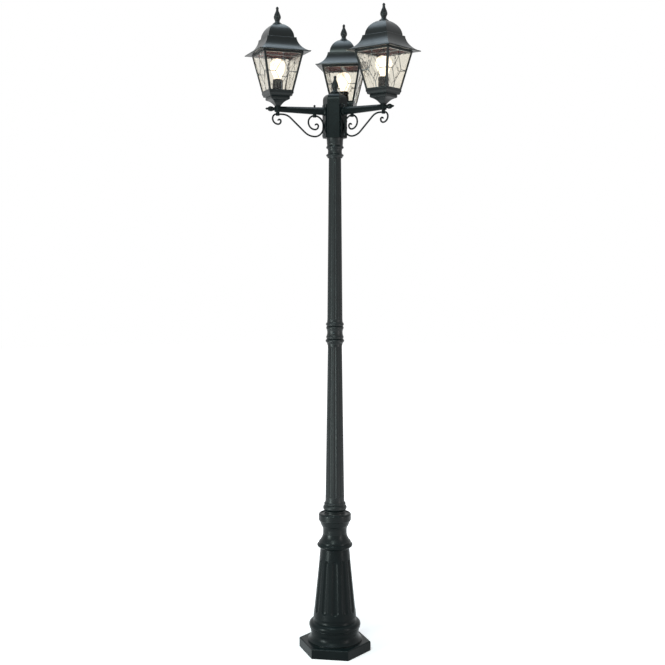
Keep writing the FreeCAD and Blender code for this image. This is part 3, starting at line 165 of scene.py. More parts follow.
def noise(tree: Tree, size: float, inputs: dict | None = None) -> Socket:
    """Adds noise that is fixed to the object, with patches of a size in millimetres."""
    given = {"Vector": object_place(tree), "Scale": 1 / (size * MM), **(inputs or {})}
    return add_node(tree, "ShaderNodeTexNoise", given).outputs["Fac"]


def spread(tree: Tree, value: Socket, target: Span, source: Span = (0.0, 1.0)) -> Socket:
    """Maps a value from the source span to the target span, and returns the new value."""
    spans = {"From Min": source[0], "From Max": source[1], "To Min": target[0], "To Max": target[1]}
    return add_node(tree, "ShaderNodeMapRange", {"Value": value, **spans}).outputs["Result"]


def blend(tree: Tree, share: Socket, first: object, second: object) -> Socket:
    """Mixes two colours by the second one's share, and returns the mixed colour."""
    given = {"Factor": share, COLOUR_A: first, COLOUR_B: second}
    return add_node(tree, "ShaderNodeMix", given, data_type="RGBA").outputs[COLOUR_RESULT]


def bump(tree: Tree, height: Socket, strength: float, depth: float, inputs: dict | None = None) -> Socket:
    """Adds relief too fine for the mesh.

    Args:
        tree: The material's tree.
        height: The relief's height, from 0 to 1.
        strength: Its strength.
        depth: Its depth in millimetres.
        inputs: Its other inputs by name.

    Returns:
        The normal.
    """
    given = {"Height": height, "Strength": strength, "Distance": depth * MM, **(inputs or {})}
    return add_node(tree, "ShaderNodeBump", given).outputs["Normal"]


def looked_at(tree: Tree) -> Socket:
    """1 where the camera sees a surface, also in a reflection or through glass, and 0 for other light."""
    path = add_node(tree, "ShaderNodeLightPath").outputs
    seen = path["Is Camera Ray"]
    for ray in ("Is Glossy Ray", "Is Transmission Ray"):
        seen = add_node(tree, "ShaderNodeMath", {0: seen, 1: path[ray]}, operation="MAXIMUM").outputs[0]
    return seen


# ---- Finishes ----


@dataclass(frozen=True)
class Finish:
    """A surface finish. Its material is made once and shared by all pieces that have it.

    A finish's colours are sRGB hex codes, and the sizes of its patches and relief are in millimetres.
    """

    name: str

    def material(self) -> bpy.types.Material:
        """The finish's material."""
        made = bpy.data.materials.get(self.name)
        if made is None:
            made = bpy.data.materials.new(self.name)
            tree = empty_tree(made)
            shader = add_node(tree, "ShaderNodeBsdfPrincipled", self.looks(tree)).outputs["BSDF"]
            add_node(tree, "ShaderNodeOutputMaterial", {"Surface": shader})
        return made

    def looks(self, tree: Tree) -> dict[str, object]:
        """Builds the finish's nodes.

        Args:
            tree: The material's tree.

        Returns:
            The inputs of the Principled shader.
        """
        raise NotImplementedError


@dataclass(frozen=True)
class CastPaint(Finish):
    """Satin polyester powder coat on cast aluminium.

    It is green-black with a soft sheen, an orange peel from the powder, slow changes of gloss, and a paler
    grey on faces that look up, partly a dusty film and partly painted top light.

    Attributes:
        deep: The paint's colour.
        worn: Its paler colour, in clouds.
        dust_and_top_light: The paler grey on faces that look up, partly a dusty film and partly painted top
            light.
        dust_and_top_light_share: Its share on level faces.
        gloss: Roughness out of and in the clouds.
        sheen: Level of the paint's reflection.
        peel: Width of the orange peel's bumps. Real ones are about 1 mm, and these are drawn to show.
        cloud: Width of the clouds.
    """

    deep: str = "#060c0d"
    worn: str = "#0b1314"
    dust_and_top_light: str = "#1f2b2c"
    dust_and_top_light_share: float = 0.25
    gloss: Span = (0.30, 0.35)
    sheen: float = 0.1
    peel: float = 5.0
    cloud: float = 38.0

    def looks(self, tree: Tree) -> dict[str, object]:
        """Builds the nodes and returns the shader's inputs."""
        cloud = noise(tree, self.cloud, {"Detail": 4.0})
        peel = noise(tree, self.peel, {"Detail": 2.0})
        paint = blend(tree, cloud, linear(self.deep), linear(self.worn))
        # Faces that look up are made paler: partly a dusty film, partly painted top light
        normal = add_node(tree, "ShaderNodeNewGeometry").outputs["Normal"]
        facing = add_node(tree, "ShaderNodeSeparateXYZ", {"Vector": normal}).outputs["Z"]
        dust_and_light_mask = spread(tree, facing, (0.0, self.dust_and_top_light_share), (0.25, 1.0))
        return {
            "Base Color": blend(tree, dust_and_light_mask, paint, linear(self.dust_and_top_light)),
            "Roughness": spread(tree, cloud, self.gloss, NOISE_SPAN),
            "Normal": bump(tree, peel, strength=0.1, depth=0.05),
            "Specular IOR Level": self.sheen,
        }


@dataclass(frozen=True)
class RedPrimer(Finish):
    """Brushed red-oxide primer inside the roofs: matt, streaked, darker where it lies thick."""

    thin: str = "#6a2c28"
    thick: str = "#3a1416"
    stroke: float = 9.0
    stretch: float = 0.2

    def looks(self, tree: Tree) -> dict[str, object]:
        """Builds the nodes and returns the shader's inputs."""
        squeeze = {"Vector": object_place(tree), "Scale": (1.0, 1.0, self.stretch)}
        drawn = add_node(tree, "ShaderNodeMapping", squeeze).outputs["Vector"]
        stroke = noise(tree, self.stroke, {"Vector": drawn, "Detail": 5.0})
        return {
            "Base Color": blend(tree, stroke, linear(self.thick), linear(self.thin)),
            "Roughness": 0.62,
            "Normal": bump(tree, stroke, strength=0.3, depth=0.2),
            "Specular IOR Level": 0.3,
        }


@dataclass(frozen=True)
class RippledGlass(Finish):
    """Clear rolled glass. Broad ripples and small seeds bend what is seen through it."""

    tint: str = "#f1eee6"
    ripple: float = 15.0
    seed: float = 5.5

    def looks(self, tree: Tree) -> dict[str, object]:
        """Builds the nodes and returns the shader's inputs."""
        ripple = noise(tree, self.ripple, {"Detail": 1.5, "Distortion": 0.6})
        cells = {"Vector": object_place(tree), "Scale": 1 / (self.seed * MM)}
        seed = add_node(tree, "ShaderNodeTexVoronoi", cells, feature="SMOOTH_F1").outputs["Distance"]
        broad = bump(tree, ripple, strength=0.6, depth=2.2)
        return {
            "Base Color": linear(self.tint),
            "Roughness": 0.04,
            "IOR": 1.32,
            "Transmission Weight": 1.0,
            "Normal": bump(tree, seed, strength=0.18, depth=0.5, inputs={"Normal": broad}),
        }


@dataclass(frozen=True)
class OpalLamp(Finish):
    """The opal glass of a lit lamp: a warm white that is hotter in soft patches."""

    glass: str = "#fff6e4"
    glow: str = "#ffeedb"
    strength: Span = (0.75, 1.7)
    patch: float = 22.0

    def looks(self, tree: Tree) -> dict[str, object]:
        """Builds the nodes and returns the shader's inputs."""
        patch = noise(tree, self.patch)
        return {
            "Base Color": linear(self.glass),
            "Roughness": spread(tree, patch, (0.28, 0.42)),
            "Emission Color": linear(self.glow),
            "Emission Strength": spread(tree, patch, self.strength, (0.3, 0.6)),
        }


@dataclass(frozen=True)
class BareMetal(Finish):
    """Bare metal with a patchy patina: lead cames, solder, brass, blackened steel or nickel."""

    bright: str
    dull: str
    gloss: Span = (0.35, 0.55)
    patch: float = 6.0
    relief: float = 0.08

    def looks(self, tree: Tree) -> dict[str, object]:
        """Builds the nodes and returns the shader's inputs."""
        patch = noise(tree, self.patch, {"Detail": 4.0})
        return {
            "Base Color": blend(tree, patch, linear(self.dull), linear(self.bright)),
            "Metallic": 1.0,
            "Roughness": spread(tree, patch, self.gloss[::-1], NOISE_SPAN),
            "Normal": bump(tree, patch, strength=0.3, depth=self.relief),
        }


@dataclass(frozen=True)
class Bakelite(Finish):
    """Black phenolic moulding: a low gloss with faint flow marks."""

    body: str = "#060606"
    flow: str = "#0f0d0c"
    mark: float = 7.0

    def looks(self, tree: Tree) -> dict[str, object]:
        """Builds the nodes and returns the shader's inputs."""
        mark = noise(tree, self.mark, {"Distortion": 1.5})
        return {
            "Base Color": blend(tree, mark, linear(self.body), linear(self.flow)),
            "Roughness": spread(tree, mark, (0.35, 0.5)),
            "Specular IOR Level": 0.2,
        }


POST_PAINT = CastPaint("Satin powder coat on cast aluminium, post")
TUBE_PAINT = CastPaint("Satin powder coat on cast aluminium, tubes", gloss=(0.38, 0.44), sheen=0.25)
CUP_PAINT = CastPaint("Satin powder coat on cast aluminium, cup", sheen=0.16)
# Its paler grey on upward faces is bluish: partly a dusty film, partly a painted bluish sheen of light from
# above
LANTERN_PAINT = CastPaint(
    "Satin powder coat on cast aluminium, lantern", dust_and_top_light="#2a3a42", dust_and_top_light_share=0.2, sheen=0.24
)
ROOF_PRIMER = RedPrimer("Red-oxide primer")
PANE_GLASS = RippledGlass("Rolled rippled glass")
LAMP_OPAL = OpalLamp("Lit opal lamp glass")
LEAD = BareMetal("Lead came", bright="#5d6263", dull="#343839", patch=8.0)
SOLDER = BareMetal("Tinned solder", bright="#8b9091", dull="#5c6162", gloss=(0.28, 0.45), patch=2.0)
NICKEL = BareMetal("Nickel-plated brass", bright="#c9c2b2", dull="#97907f", gloss=(0.2, 0.35), patch=3.0)
BRASS = BareMetal("Turned brass", bright="#c8a45a", dull="#8f7238", gloss=(0.22, 0.4), patch=4.0)
SCREW_STEEL = BareMetal("Blackened steel", bright="#4a5254", dull="#23292b", gloss=(0.3, 0.5), patch=3.0)
HOLDER = Bakelite("Black phenolic moulding")


# ---- Meshes ----


def new_object(name: str, data: bpy.types.ID) -> Thing:
    """Puts a mesh, lamp or camera in the scene as an object at the origin."""
    made = bpy.data.objects.new(name, data)
    bpy.context.scene.collection.objects.link(made)
    return made


def new_mesh(name: str, shape: Shape) -> Mesh:
    """Turns a shape under work into a mesh, and frees the shape."""
    made = bpy.data.meshes.new(name)
    shape.to_mesh(made)
    shape.free()
    return made


def as_mesh(thing: Thing) -> Thing:
    """Turns an object with its modifiers into a plain mesh object of the same name."""
    bpy.context.view_layer.update()
    graph = bpy.context.evaluated_depsgraph_get()
    mesh = bpy.data.meshes.new_from_object(
        thing.evaluated_get(graph), preserve_all_data_layers=True, depsgraph=graph
    )
    thing.modifiers.clear()
    thing.data = mesh
    mesh.name = thing.name
    return thing


def block(
    name: str, size: Sequence[float], middle: Sequence[float] = (0.0, 0.0, 0.0), chamfer: float = 0.0
) -> Mesh:
    """Makes a rectangular block.

    Args:
        name: The mesh's name.
        size: Its sizes in millimetres.
        middle: Its centre in millimetres.
        chamfer: Its chamfers, as a share of each size.

    Returns:
        The block's mesh.
    """
    shape = bmesh.new()
    bmesh.ops.create_cube(shape, size=1.0)
    if chamfer:
        bmesh.ops.bevel(shape, geom=shape.edges[:], offset=chamfer, segments=1, affect="EDGES")
    made = new_mesh(name, shape)
    scale = Matrix.Diagonal((*(side * MM for side in size), 1.0))
    made.transform(Matrix.Translation(Vector(middle) * MM) @ scale)
    return made


def curve_value(knots: Sequence[float], t: float) -> float:
    """The value of a smooth curve at a share of the way between the second and third of four knots."""
    p, q, r, s = knots
    return 0.5 * (2 * q + (r - p) * t + (2 * p - 5 * q + 4 * r - s) * t**2 + (3 * q - p - 3 * r + s) * t**3)


def smoothed(points: Sequence[Point], steps: int = 5) -> list[Point]:
    """Runs a smooth curve through points.

    Args:
        points: The curve's points in order.
        steps: Pieces between two points.

    Returns:
        The points with the new ones between them.
    """
    ends = [points[0], *points, points[-1]]
    made = []
    for four in zip(ends, ends[1:], ends[2:], ends[3:]):
        for i in range(steps):
            made.append(tuple(curve_value(knots, i / steps) for knots in zip(*four)))
    made.append(points[-1])
    return made


@dataclass(frozen=True)
class Lathe:
    """A turned solid, with optional lobes.

    Attributes:
        outline: Radius and height pairs, from the axis to the axis or once round a ring's section.
        steps: Sides round the axis.
        lobes: Rounded lobes round the axis.
        lobe_depth: Depth of the grooves between them, as a share of the radius.
        lobe_span: Heights between which they are.
    """

    outline: Sequence[Point]
    steps: int = 64
    lobes: int = 0
    lobe_depth: float = 0.0
    lobe_span: Span = (0.0, 1.0)

    def lobed(self, radius: float, height: float, angle: float) -> float:
        """The radius at a height and an angle, with the lobes cut in."""
        low, high = self.lobe_span
        if not self.lobes or not low < height < high:
            return radius
        fade = math.sin(math.pi * (height - low) / (high - low)) ** 0.6
        groove = (1 - abs(math.cos(self.lobes * angle / 2))) ** 1.6
        return radius * (1 - self.lobe_depth * fade * groove)

    def ring(self, shape: Shape, radius: float, height: float) -> list[bmesh.types.BMVert]:
        """Adds the corners at one height, or a single one on the axis."""
        if radius < ON_AXIS:
            return [shape.verts.new((0, 0, height * MM))]
        made = []
        for i in range(self.steps):
            angle = 2 * math.pi * i / self.steps
            out = self.lobed(radius, height, angle) * MM
            made.append(shape.verts.new((out * math.cos(angle), out * math.sin(angle), height * MM)))
        return made

    def mesh(self, name: str) -> Mesh:
        """Builds the solid on the Z axis, in metres, with faces that point outwards."""
        shape = bmesh.new()
        rings = [self.ring(shape, radius, height) for radius, height in self.outline]
        for low, high in zip(rings, rings[1:]):
            for i in range(self.steps):
                j = (i + 1) % self.steps
                corners = (low[i % len(low)], low[j % len(low)], high[j % len(high)], high[i % len(high)])
                face = list(dict.fromkeys(corners))
                if len(face) > 2:
                    shape.faces.new(face).smooth = True
        bmesh.ops.recalc_face_normals(shape, faces=shape.faces)
        return new_mesh(name, shape)


def casting(node: str, name: str, edge: float) -> Thing:
    """Copies a CAD node and rounds its edges as a sand casting's are.

    Args:
        node: The CAD node.
        name: Name of the new piece.
        edge: Width of the rounding in millimetres.

    Returns:
        The new piece.
    """
    mesh = bpy.data.objects[NODE_OBJECTS[node]].data.copy()
    if "custom_normal" in mesh.attributes:
        mesh.attributes.remove(mesh.attributes["custom_normal"])
    shape = bmesh.new()
    shape.from_mesh(mesh)
    bmesh.ops.remove_doubles(shape, verts=shape.verts, dist=WELD)
    # The triangles stay. Dissolved, a ring round a panel would lose its hole
    bmesh.ops.dissolve_degenerate(shape, dist=WELD, edges=shape.edges)
    for face in shape.faces:
        face.smooth = True
    shape.to_mesh(mesh)
    shape.free()
    made = new_object(name, mesh)
    bevel = made.modifiers.new("edges", "BEVEL")
    bevel.width = edge * MM
    bevel.segments = 2
    bevel.limit_method = "ANGLE"
    bevel.angle_limit = SHARP
    bevel.use_clamp_overlap = True
    bevel.miter_outer = "MITER_ARC"
    even = made.modifiers.new("shading", "WEIGHTED_NORMAL")
    even.keep_sharp = True
    even.weight = 60
    return as_mesh(made)


def dress(thing: Thing, *finishes: Finish) -> None:
    """Gives an object its finishes. All faces have the first one, unless they are set to another."""
    thing.data.materials.clear()
    for finish in finishes:
        thing.data.materials.append(finish.material())


def dress_node(name: str, finish: Finish) -> None:
    """Gives a CAD node that stays in sight a finish."""
    for holder in bpy.data.objects[NODE_OBJECTS[name]].material_slots:
        holder.material = finish.material()


def stand_for(thing: Thing, body: str, slot: str, *nodes: str) -> None:
    """Lets a piece ride on a body and take the place of CAD nodes.

    Args:
        thing: The piece.
        body: The body that it rides on.
        slot: The name of its material slot, which is not used.
        *nodes: The CAD nodes that it replaces, if any.
    """
    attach(thing, body)
    if nodes:
        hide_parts(*nodes)
    LOG.info("%s rides on %s, %d faces", thing.name, body, len(thing.data.polygons))


# ---- Geometry Nodes ----


def start_tree(name: str, inputs: dict[str, str]) -> Tree:
    """Starts a geometry tree.

    Args:
        name: The tree's name.
        inputs: The kind of each input by its name.

    Returns:
        The tree, which has one output named Piece.
    """
    tree = bpy.data.node_groups.new(name, "GeometryNodeTree")
    for label, kind in inputs.items():
        tree.interface.new_socket(name=label, in_out="INPUT", socket_type=f"NodeSocket{kind}")
    tree.interface.new_socket(name="Piece", in_out="OUTPUT", socket_type="NodeSocketGeometry")
    return tree


def end_tree(tree: Tree, added: Socket, core: Socket, finish: Socket) -> None:
    """Ends a geometry tree: joins what it added to the core, makes that real and sets its finish."""
    joined = add_node(tree, "GeometryNodeJoinGeometry", {"Geometry": added})
    tree.links.new(core, joined.inputs["Geometry"])
    real = add_node(tree, "GeometryNodeRealizeInstances", {"Geometry": joined.outputs["Geometry"]})
    dressing = {"Geometry": real.outputs["Geometry"], "Material": finish}
    dressed = add_node(tree, "GeometryNodeSetMaterial", dressing)
    add_node(tree, "NodeGroupOutput", {"Piece": dressed.outputs["Geometry"]})


def run_tree(thing: Thing, tree: Tree, values: dict[str, object]) -> None:
    """Runs a geometry tree on an object, with values by input name, and keeps the result as its mesh."""
    nodes = thing.modifiers.new("nodes", "NODES")
    nodes.node_group = tree
    for item in tree.interface.items_tree:
        if item.name in values:
            nodes[item.identifier] = values[item.name]
    as_mesh(thing)


@dataclass(frozen=True)
class Scatter:
    """Sets copies of one small part on points, each facing its own way, and makes them one mesh.

    Attributes:
        name: Name of the piece.
        part: The small part's mesh, with its outside along +Z.
        spots: Where each copy stands and which way it faces.
        finish: The copies' finish.
        core: A mesh that the copies are joined to.
    """

    name: str
    part: Mesh
    spots: Sequence[tuple[Vector, Vector]]
    finish: Finish
    core: Mesh | None = None

    def tree(self) -> Tree:
        """Builds the node tree, with the part, its size and its finish as named inputs."""
        kinds = {"Points": "Geometry", "Part": "Object", "Core": "Object", "Size": "Float"}
        kinds |= {"Finish": "Material"}
        tree = start_tree(f"{self.name} copies", kinds)
        given = add_node(tree, "NodeGroupInput").outputs
        part = add_node(tree, "GeometryNodeObjectInfo", {"Object": given["Part"], "As Instance": True})
        core = add_node(tree, "GeometryNodeObjectInfo", {"Object": given["Core"]})
        named = "GeometryNodeInputNamedAttribute"
        facing = add_node(tree, named, {"Name": "facing"}, data_type="FLOAT_VECTOR")
        align = "FunctionNodeAlignRotationToVector"
        outward = add_node(tree, align, {"Vector": facing.outputs["Attribute"]}, axis="Z")
        turned = {"Rotation": outward.outputs["Rotation"], "Vector": tuple(UP)}
        upright = add_node(tree, align, turned, axis="Y", pivot_axis="Z")
        placing = {"Points": given["Points"], "Instance": part.outputs["Geometry"]}
        placing |= {"Rotation": upright.outputs["Rotation"], "Scale": given["Size"]}
        copies = add_node(tree, "GeometryNodeInstanceOnPoints", placing)
        end_tree(tree, copies.outputs["Instances"], core.outputs["Geometry"], given["Finish"])
        return tree

    def build(self) -> Thing:
        """Runs the tree and returns its result as a plain mesh object."""
        points = bpy.data.meshes.new(self.name)
        points.from_pydata([spot for spot, _ in self.spots], [], [])
        facing = points.attributes.new("facing", "FLOAT_VECTOR", "POINT")
        facing.data.foreach_set("vector", [c for _, way in self.spots for c in way])
        carrier = new_object(self.name, points)
        part = new_object(f"{self.name} part", self.part)
        core = new_object(f"{self.name} core", self.core or bpy.data.meshes.new("none"))
        values = {"Part": part, "Core": core, "Size": 1.0, "Finish": self.finish.material()}
        run_tree(carrier, self.tree(), values)
        if "facing" in carrier.data.attributes:
            carrier.data.attributes.remove(carrier.data.attributes["facing"])
        for helper in (part, core):
            bpy.data.objects.remove(helper)
        return carrier


def thread_tree(name: str) -> Tree:
    """Builds the node tree of a screw thread: a helix swept with a round bead, joined to its core."""
    sizes = dict.fromkeys(("Radius", "Bead", "Length", "Turns", "Start"), "Float")
    tree = start_tree(f"{name} thread", {"Core": "Geometry", **sizes, "Finish": "Material"})
    given = add_node(tree, "NodeGroupInput").outputs
    spiral = {"Resolution": 48, "Rotations": given["Turns"], "Height": given["Length"]}
    spiral |= {"Start Radius": given["Radius"], "End Radius": given["Radius"]}
    helix = add_node(tree, "GeometryNodeCurveSpiral", spiral)
    start = add_node(tree, "ShaderNodeCombineXYZ", {"Z": given["Start"]})
    moved = {"Geometry": helix.outputs["Curve"], "Translation": start.outputs["Vector"]}
    raised = add_node(tree, "GeometryNodeTransform", moved)
    bead = add_node(tree, "GeometryNodeCurvePrimitiveCircle", {"Resolution": 8, "Radius": given["Bead"]})
    sweep = {"Curve": raised.outputs["Geometry"], "Profile Curve": bead.outputs["Curve"], "Fill Caps": True}
    swept = add_node(tree, "GeometryNodeCurveToMesh", sweep)
    end_tree(tree, swept.outputs["Mesh"], given["Core"], given["Finish"])
    return tree


# ---- The post ----


@dataclass
class Finial:
    """A lobed teardrop finial with a small ball on top. The outline keeps the casting's sizes.

    Attributes:
        foot_radius: Radius of the flared foot.
        neck_radius: Radius of the neck.
        ring_radius: Radius of the ring over the neck.
        drop_radius: Widest radius of the drop.
        drop_span: Heights of its ends.
        waist_radius: Radius under the ball.
        ball_radius: Radius of the ball.
        height: Whole height.
        lobes: Lobes round the drop.
        groove: Depth of the grooves between them, as a share of the radius.
    """

    foot_radius: float = 19.0
    neck_radius: float = 9.0
    ring_radius: float = 10.5
    drop_radius: float = 14.0
    drop_span: Span = (18.6, 54.0)
    waist_radius: float = 4.4
    ball_radius: float = 5.8
    height: float = 69.0
    lobes: int = 8
    groove: float = 0.16

    def outline(self) -> list[Point]:
        """The outline from the foot to the tip."""
        base, ring, waist = self.foot_radius, self.ring_radius, self.waist_radius
        low, high = self.drop_span
        foot = [(0.0, 0.0), (base - 0.6, 0.0), (base, 0.7), (base, 2.6)]
        flare = smoothed([(base - 0.8, 3.4), (12.6, 7.4), (9.9, 11.2), (self.neck_radius, 14.6)])
        band = [(ring - 0.6, 14.9), (ring, 15.8), (ring, 16.8), (ring - 0.7, 17.8)]
        bulge = [(10.2, low), (12.6, 21.6), (self.drop_radius, 27.5)]
        taper = [(13.2, 33.5), (10.6, 41.0), (7.4, 48.5), (waist + 0.4, high)]
        collar = [(waist + 1.3, 54.6), (waist + 1.4, 55.8), (waist, 56.4)]
        ball = [(waist, 56.8), (self.ball_radius, 61.6), (4.6, 65.6), (2.4, 68.2), (0.0, self.height)]
        return foot + flare + band + smoothed(bulge + taper) + collar + smoothed(ball)

    def build(self, name: str, centre: Vector) -> Thing:
        """Builds one finial with its foot's centre at a point, in metres."""
        turned = Lathe(self.outline(), 96, self.lobes, self.groove, self.drop_span)
        shape = turned.mesh(name)
        shape.transform(Matrix.Translation(centre))
        made = new_object(name, shape)
        dress(made, LANTERN_PAINT)
        return made


@dataclass
class Post:
    """The foot, column, cup, two fluted tubes, collars, hub and cap.

    Attributes:
        foot_edge: Rounding of the foot's edges.
        hub_edge: Rounding of the hub's edges.
        cap_edge: Rounding of the cap's edges.
        screw_radius: Radius of the two set screws.
        screw_length: Their length.
        chamfer: Chamfer of their ends.
        socket: Radius of their sockets.
        socket_depth: Depth of the sockets.
        mid_spot: How far out the middle collar's screw starts, and how high.
        top_spot: The same for the top collar's screw.
    """

    foot_edge: float = 0.8
    hub_edge: float = 0.5
    cap_edge: float = 1.4
    screw_radius: float = 3.4
    screw_length: float = 12.3
    chamfer: float = 0.5
    socket: float = 1.9
    socket_depth: float = 2.2
    mid_spot: Point = (21.5, 1322.0)
    top_spot: Point = (25.1, 2068.0)

    def build(self) -> None:
        """Builds and dresses the post's pieces."""
        dress_node("column", POST_PAINT)
        dress_node("cup", CUP_PAINT)
        for node in ("lower_post", "mid_collar", "upper_post", "top_collar"):
            dress_node(node, TUBE_PAINT)
        for node, edge, body in (
            ("foot", self.foot_edge, "post"),
            ("hub", self.hub_edge, "post"),
            ("hub_cap", self.cap_edge, "cap"),
        ):
            piece = casting(node, f"{node}_casting", edge)
            dress(piece, POST_PAINT)
            stand_for(piece, body, "post_paint", node)
        self.build_set_screws()
        _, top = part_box("hub_cap")
        knob = Finial().build("cap_finial_casting", Vector((0, 0, top[2])))
        stand_for(knob, "cap_knob", "post_paint", "cap_finial")

    def build_set_screws(self) -> None:
        """Builds the two grub screws at the front of the collars."""
        radius, length, chamfer = self.screw_radius, self.screw_length, self.chamfer
        bottom = length - self.socket_depth
        rod = [(0, 0), (radius - 0.4, 0), (radius, 0.4)]
        end = [(radius, length - chamfer), (radius - chamfer, length)]
        socket = [(self.socket, length), (self.socket, bottom), (0, bottom - 0.4)]
        part = Lathe(rod + end + socket, steps=36).mesh("set screw")
        places = (self.mid_spot, self.top_spot)
        spots = [(Vector((0.0, -out, height)) * MM, FRONT) for out, height in places]
        piece = Scatter("set_screw_pair", part, spots, SCREW_STEEL).build()
        stand_for(piece, "post", "screw_steel", "set_screws")


# ---- Arms ----


@dataclass
class Arms:
    """The three arms with their scrolls, and the six screws that hold their plates to the hub.

    Attributes:
        plate_front: Distance of the plates' fronts from the post's axis.
        screw_heights: Heights of the screws.
        shank_radius: Radius of the screws' shanks.
        shank_length: Their length.
        head_radius: Radius of the domed heads.
        head_height: Their height.
        head_rim: Height of the rim under the dome.
        dome_steps: Steps from the rim to the dome's top.
        slot_width: Width of the slot across a head.
        slot_depth: Its depth.
    """

    plate_front: float = 46.435
    screw_heights: Sequence[float] = (2230.0, 2115.0)
    shank_radius: float = 2.5
    shank_length: float = 9.4
    head_radius: float = 4.0
    head_height: float = 2.6
    head_rim: float = 0.7
    dome_steps: int = 8
    slot_width: float = 0.9
    slot_depth: float = 1.1

    def build(self) -> None:
        """Builds and dresses the arms, scrolls and screws."""
        for side in Side:
            dress_node(side.node("arm"), POST_PAINT)
            dress_node(side.node("scroll"), POST_PAINT)
        spots = [
            (side.along(self.plate_front, 0.0, height), side.along(1 / MM, 0.0, 0.0))
            for side in Side
            for height in self.screw_heights
        ]
        piece = Scatter("plate_screw_set", self.screw(), spots, SCREW_STEEL).build()
        stand_for(piece, "post", "screw_steel", "plate_screws")

    def screw(self) -> Mesh:
        """One slotted dome-head screw with its shank."""
        shank, tip = self.shank_radius, -self.shank_length
        radius, rim, top = self.head_radius, self.head_rim, self.head_height
        angles = [i * math.pi / 2 / self.dome_steps for i in range(self.dome_steps)]
        dome = [(radius * math.cos(a), rim + (top - rim) * math.sin(a)) for a in angles]
        rod = [(0, tip), (shank - 0.5, tip), (shank, tip + 0.6), (shank, 0), (radius, 0)]
        head = new_object("screw head", Lathe([*rod, *dome, (0, top)], steps=40).mesh("screw head"))
        slot = block("slot", (radius * 3, self.slot_width, self.slot_depth * 2), (0, 0, top))
        cutter = new_object("slot", slot)
        cut = head.modifiers.new("slot", "BOOLEAN")
        cut.operation = "DIFFERENCE"
        cut.object = cutter
        mesh = as_mesh(head).data
        for helper in (head, cutter):
            bpy.data.objects.remove(helper)
        return mesh


# ---- Lanterns ----


@dataclass(frozen=True)
class Lampholder:
    """A ribbed lampholder, open at the top for the lamp's cap.

    Attributes:
        bore: Radius of the hole for the wires.
        foot_radius: Radius of the foot.
        foot_height: Its height.
        body_radius: Radius of the body.
        rim_radius: Radius of the rim.
        rim_start: Height of its lower edge.
        height: Whole height.
        mouth: Radius of the mouth.
        mouth_floor: Height of its floor.
        ribs: Ribs round the body.
        rib_width: Their width.
        rib_length: Their length.
        rib_spot: How far out their middles are, and at what height.
    """

    bore: float = 5.2
    foot_radius: float = 21.5
    foot_height: float = 13.6
    body_radius: float = 19.4
    rim_radius: float = 20.2
    rim_start: float = 66.0
    height: float = 80.0
    mouth: float = 13.3
    mouth_floor: float = 53.0
    ribs: int = 24
    rib_width: float = 2.2
    rib_length: float = 46.0
    rib_spot: Point = (19.3, 40.0)

    def body(self) -> Mesh:
        """The holder's turned body on the Z axis."""
        base, step, start, top = self.foot_radius, self.foot_height, self.rim_start, self.height
        bore, out, mouth, floor = self.bore, self.rim_radius, self.mouth, self.mouth_floor
        foot = [(bore, 0), (base - 0.5, 0), (base, 0.6), (base, step - 2.2), (base - 0.6, step - 1.4)]
        wall = [(self.body_radius, step), (self.body_radius, start)]
        rim = [(out, start + 1.0), (out, top - 3.2), (out - 1.0, top - 1.2), (out - 2.6, top)]
        hole = [(mouth + 0.3, top), (mouth, top - 1.0), (mouth, floor), (bore, floor), (bore, 0)]
        return Lathe(foot + wall + rim + hole, steps=72).mesh("lampholder body")

    def build(self, name: str) -> Thing:
        """Builds the lampholder on the Z axis, with its ribs."""
        out, middle = self.rib_spot
        rib = block("rib", (self.rib_width, self.rib_length, self.rib_width), chamfer=0.18)
        spots = []
        for i in range(self.ribs):
            angle = 2 * math.pi * i / self.ribs
            way = Vector((math.cos(angle), math.sin(angle), 0.0))
            spots.append((way * out * MM + UP * middle * MM, way))
        return Scatter(name, rib, spots, HOLDER, core=self.body()).build()


@dataclass(frozen=True)
class Lamp:
    """A pear-shaped opal lamp on an Edison screw of 27 mm.

    Attributes:
        core_radius: Radius of the cap between the thread's turns.
        cap_height: Height of the cap.
        bead: Radius of the thread's bead.
        pitch: Its pitch.
        turns: Its turns.
        thread_start: Height at which it starts.
        glass_foot: Radius of the glass at its foot.
        glass_radius: Its widest radius.
        glass_height: Its height.
    """

    core_radius: float = 12.0
    cap_height: float = 26.0
    bead: float = 1.05
    pitch: float = 3.6
    turns: float = 4.0
    thread_start: float = 9.2
    glass_foot: float = 12.9
    glass_radius: float = 30.0
    glass_height: float = 80.0

    def cap(self, name: str) -> Thing:
        """Builds the cap with its rolled thread on the Z axis."""
        core, top = self.core_radius, self.cap_height
        contact = smoothed([(0, 0), (4.2, 0.2), (4.5, 1.4)], steps=3)
        cone = [(5.4, 1.8), (9.4, 4.2), (core - 0.4, 6.6), (core, 8.0)]
        shell = [(core, top - 1.4), (core + 0.6, top - 0.8), (core + 0.6, top), (0, top)]
        made = new_object(name, Lathe(contact + cone + shell, steps=48).mesh("lamp cap"))
        values = {
            "Radius": core * MM,
            "Bead": self.bead * MM,
            "Length": self.pitch * self.turns * MM,
            "Turns": self.turns,
            "Start": self.thread_start * MM,
            "Finish": NICKEL.material(),
        }
        run_tree(made, thread_tree(name), values)
        for face in made.data.polygons:
            face.use_smooth = True
        return made

    def glass(self, name: str) -> Thing:
        """Builds the glass on the Z axis."""
        foot = [(self.glass_foot, 0.0), (self.glass_foot + 0.5, 4.0)]
        flank = [(14.6, 9.0), (18.0, 17.0), (23.6, 27.5), (28.2, 38.5), (self.glass_radius, 49.0)]
        crown = [(28.6, 60.0), (23.2, 70.5), (14.6, 77.2), (6.0, 79.7), (0.0, self.glass_height)]
        pear = smoothed(foot + flank + crown)
        made = new_object(name, Lathe([(0, 0), *pear], steps=72).mesh("lamp opal"))
        dress(made, LAMP_OPAL)
        return made


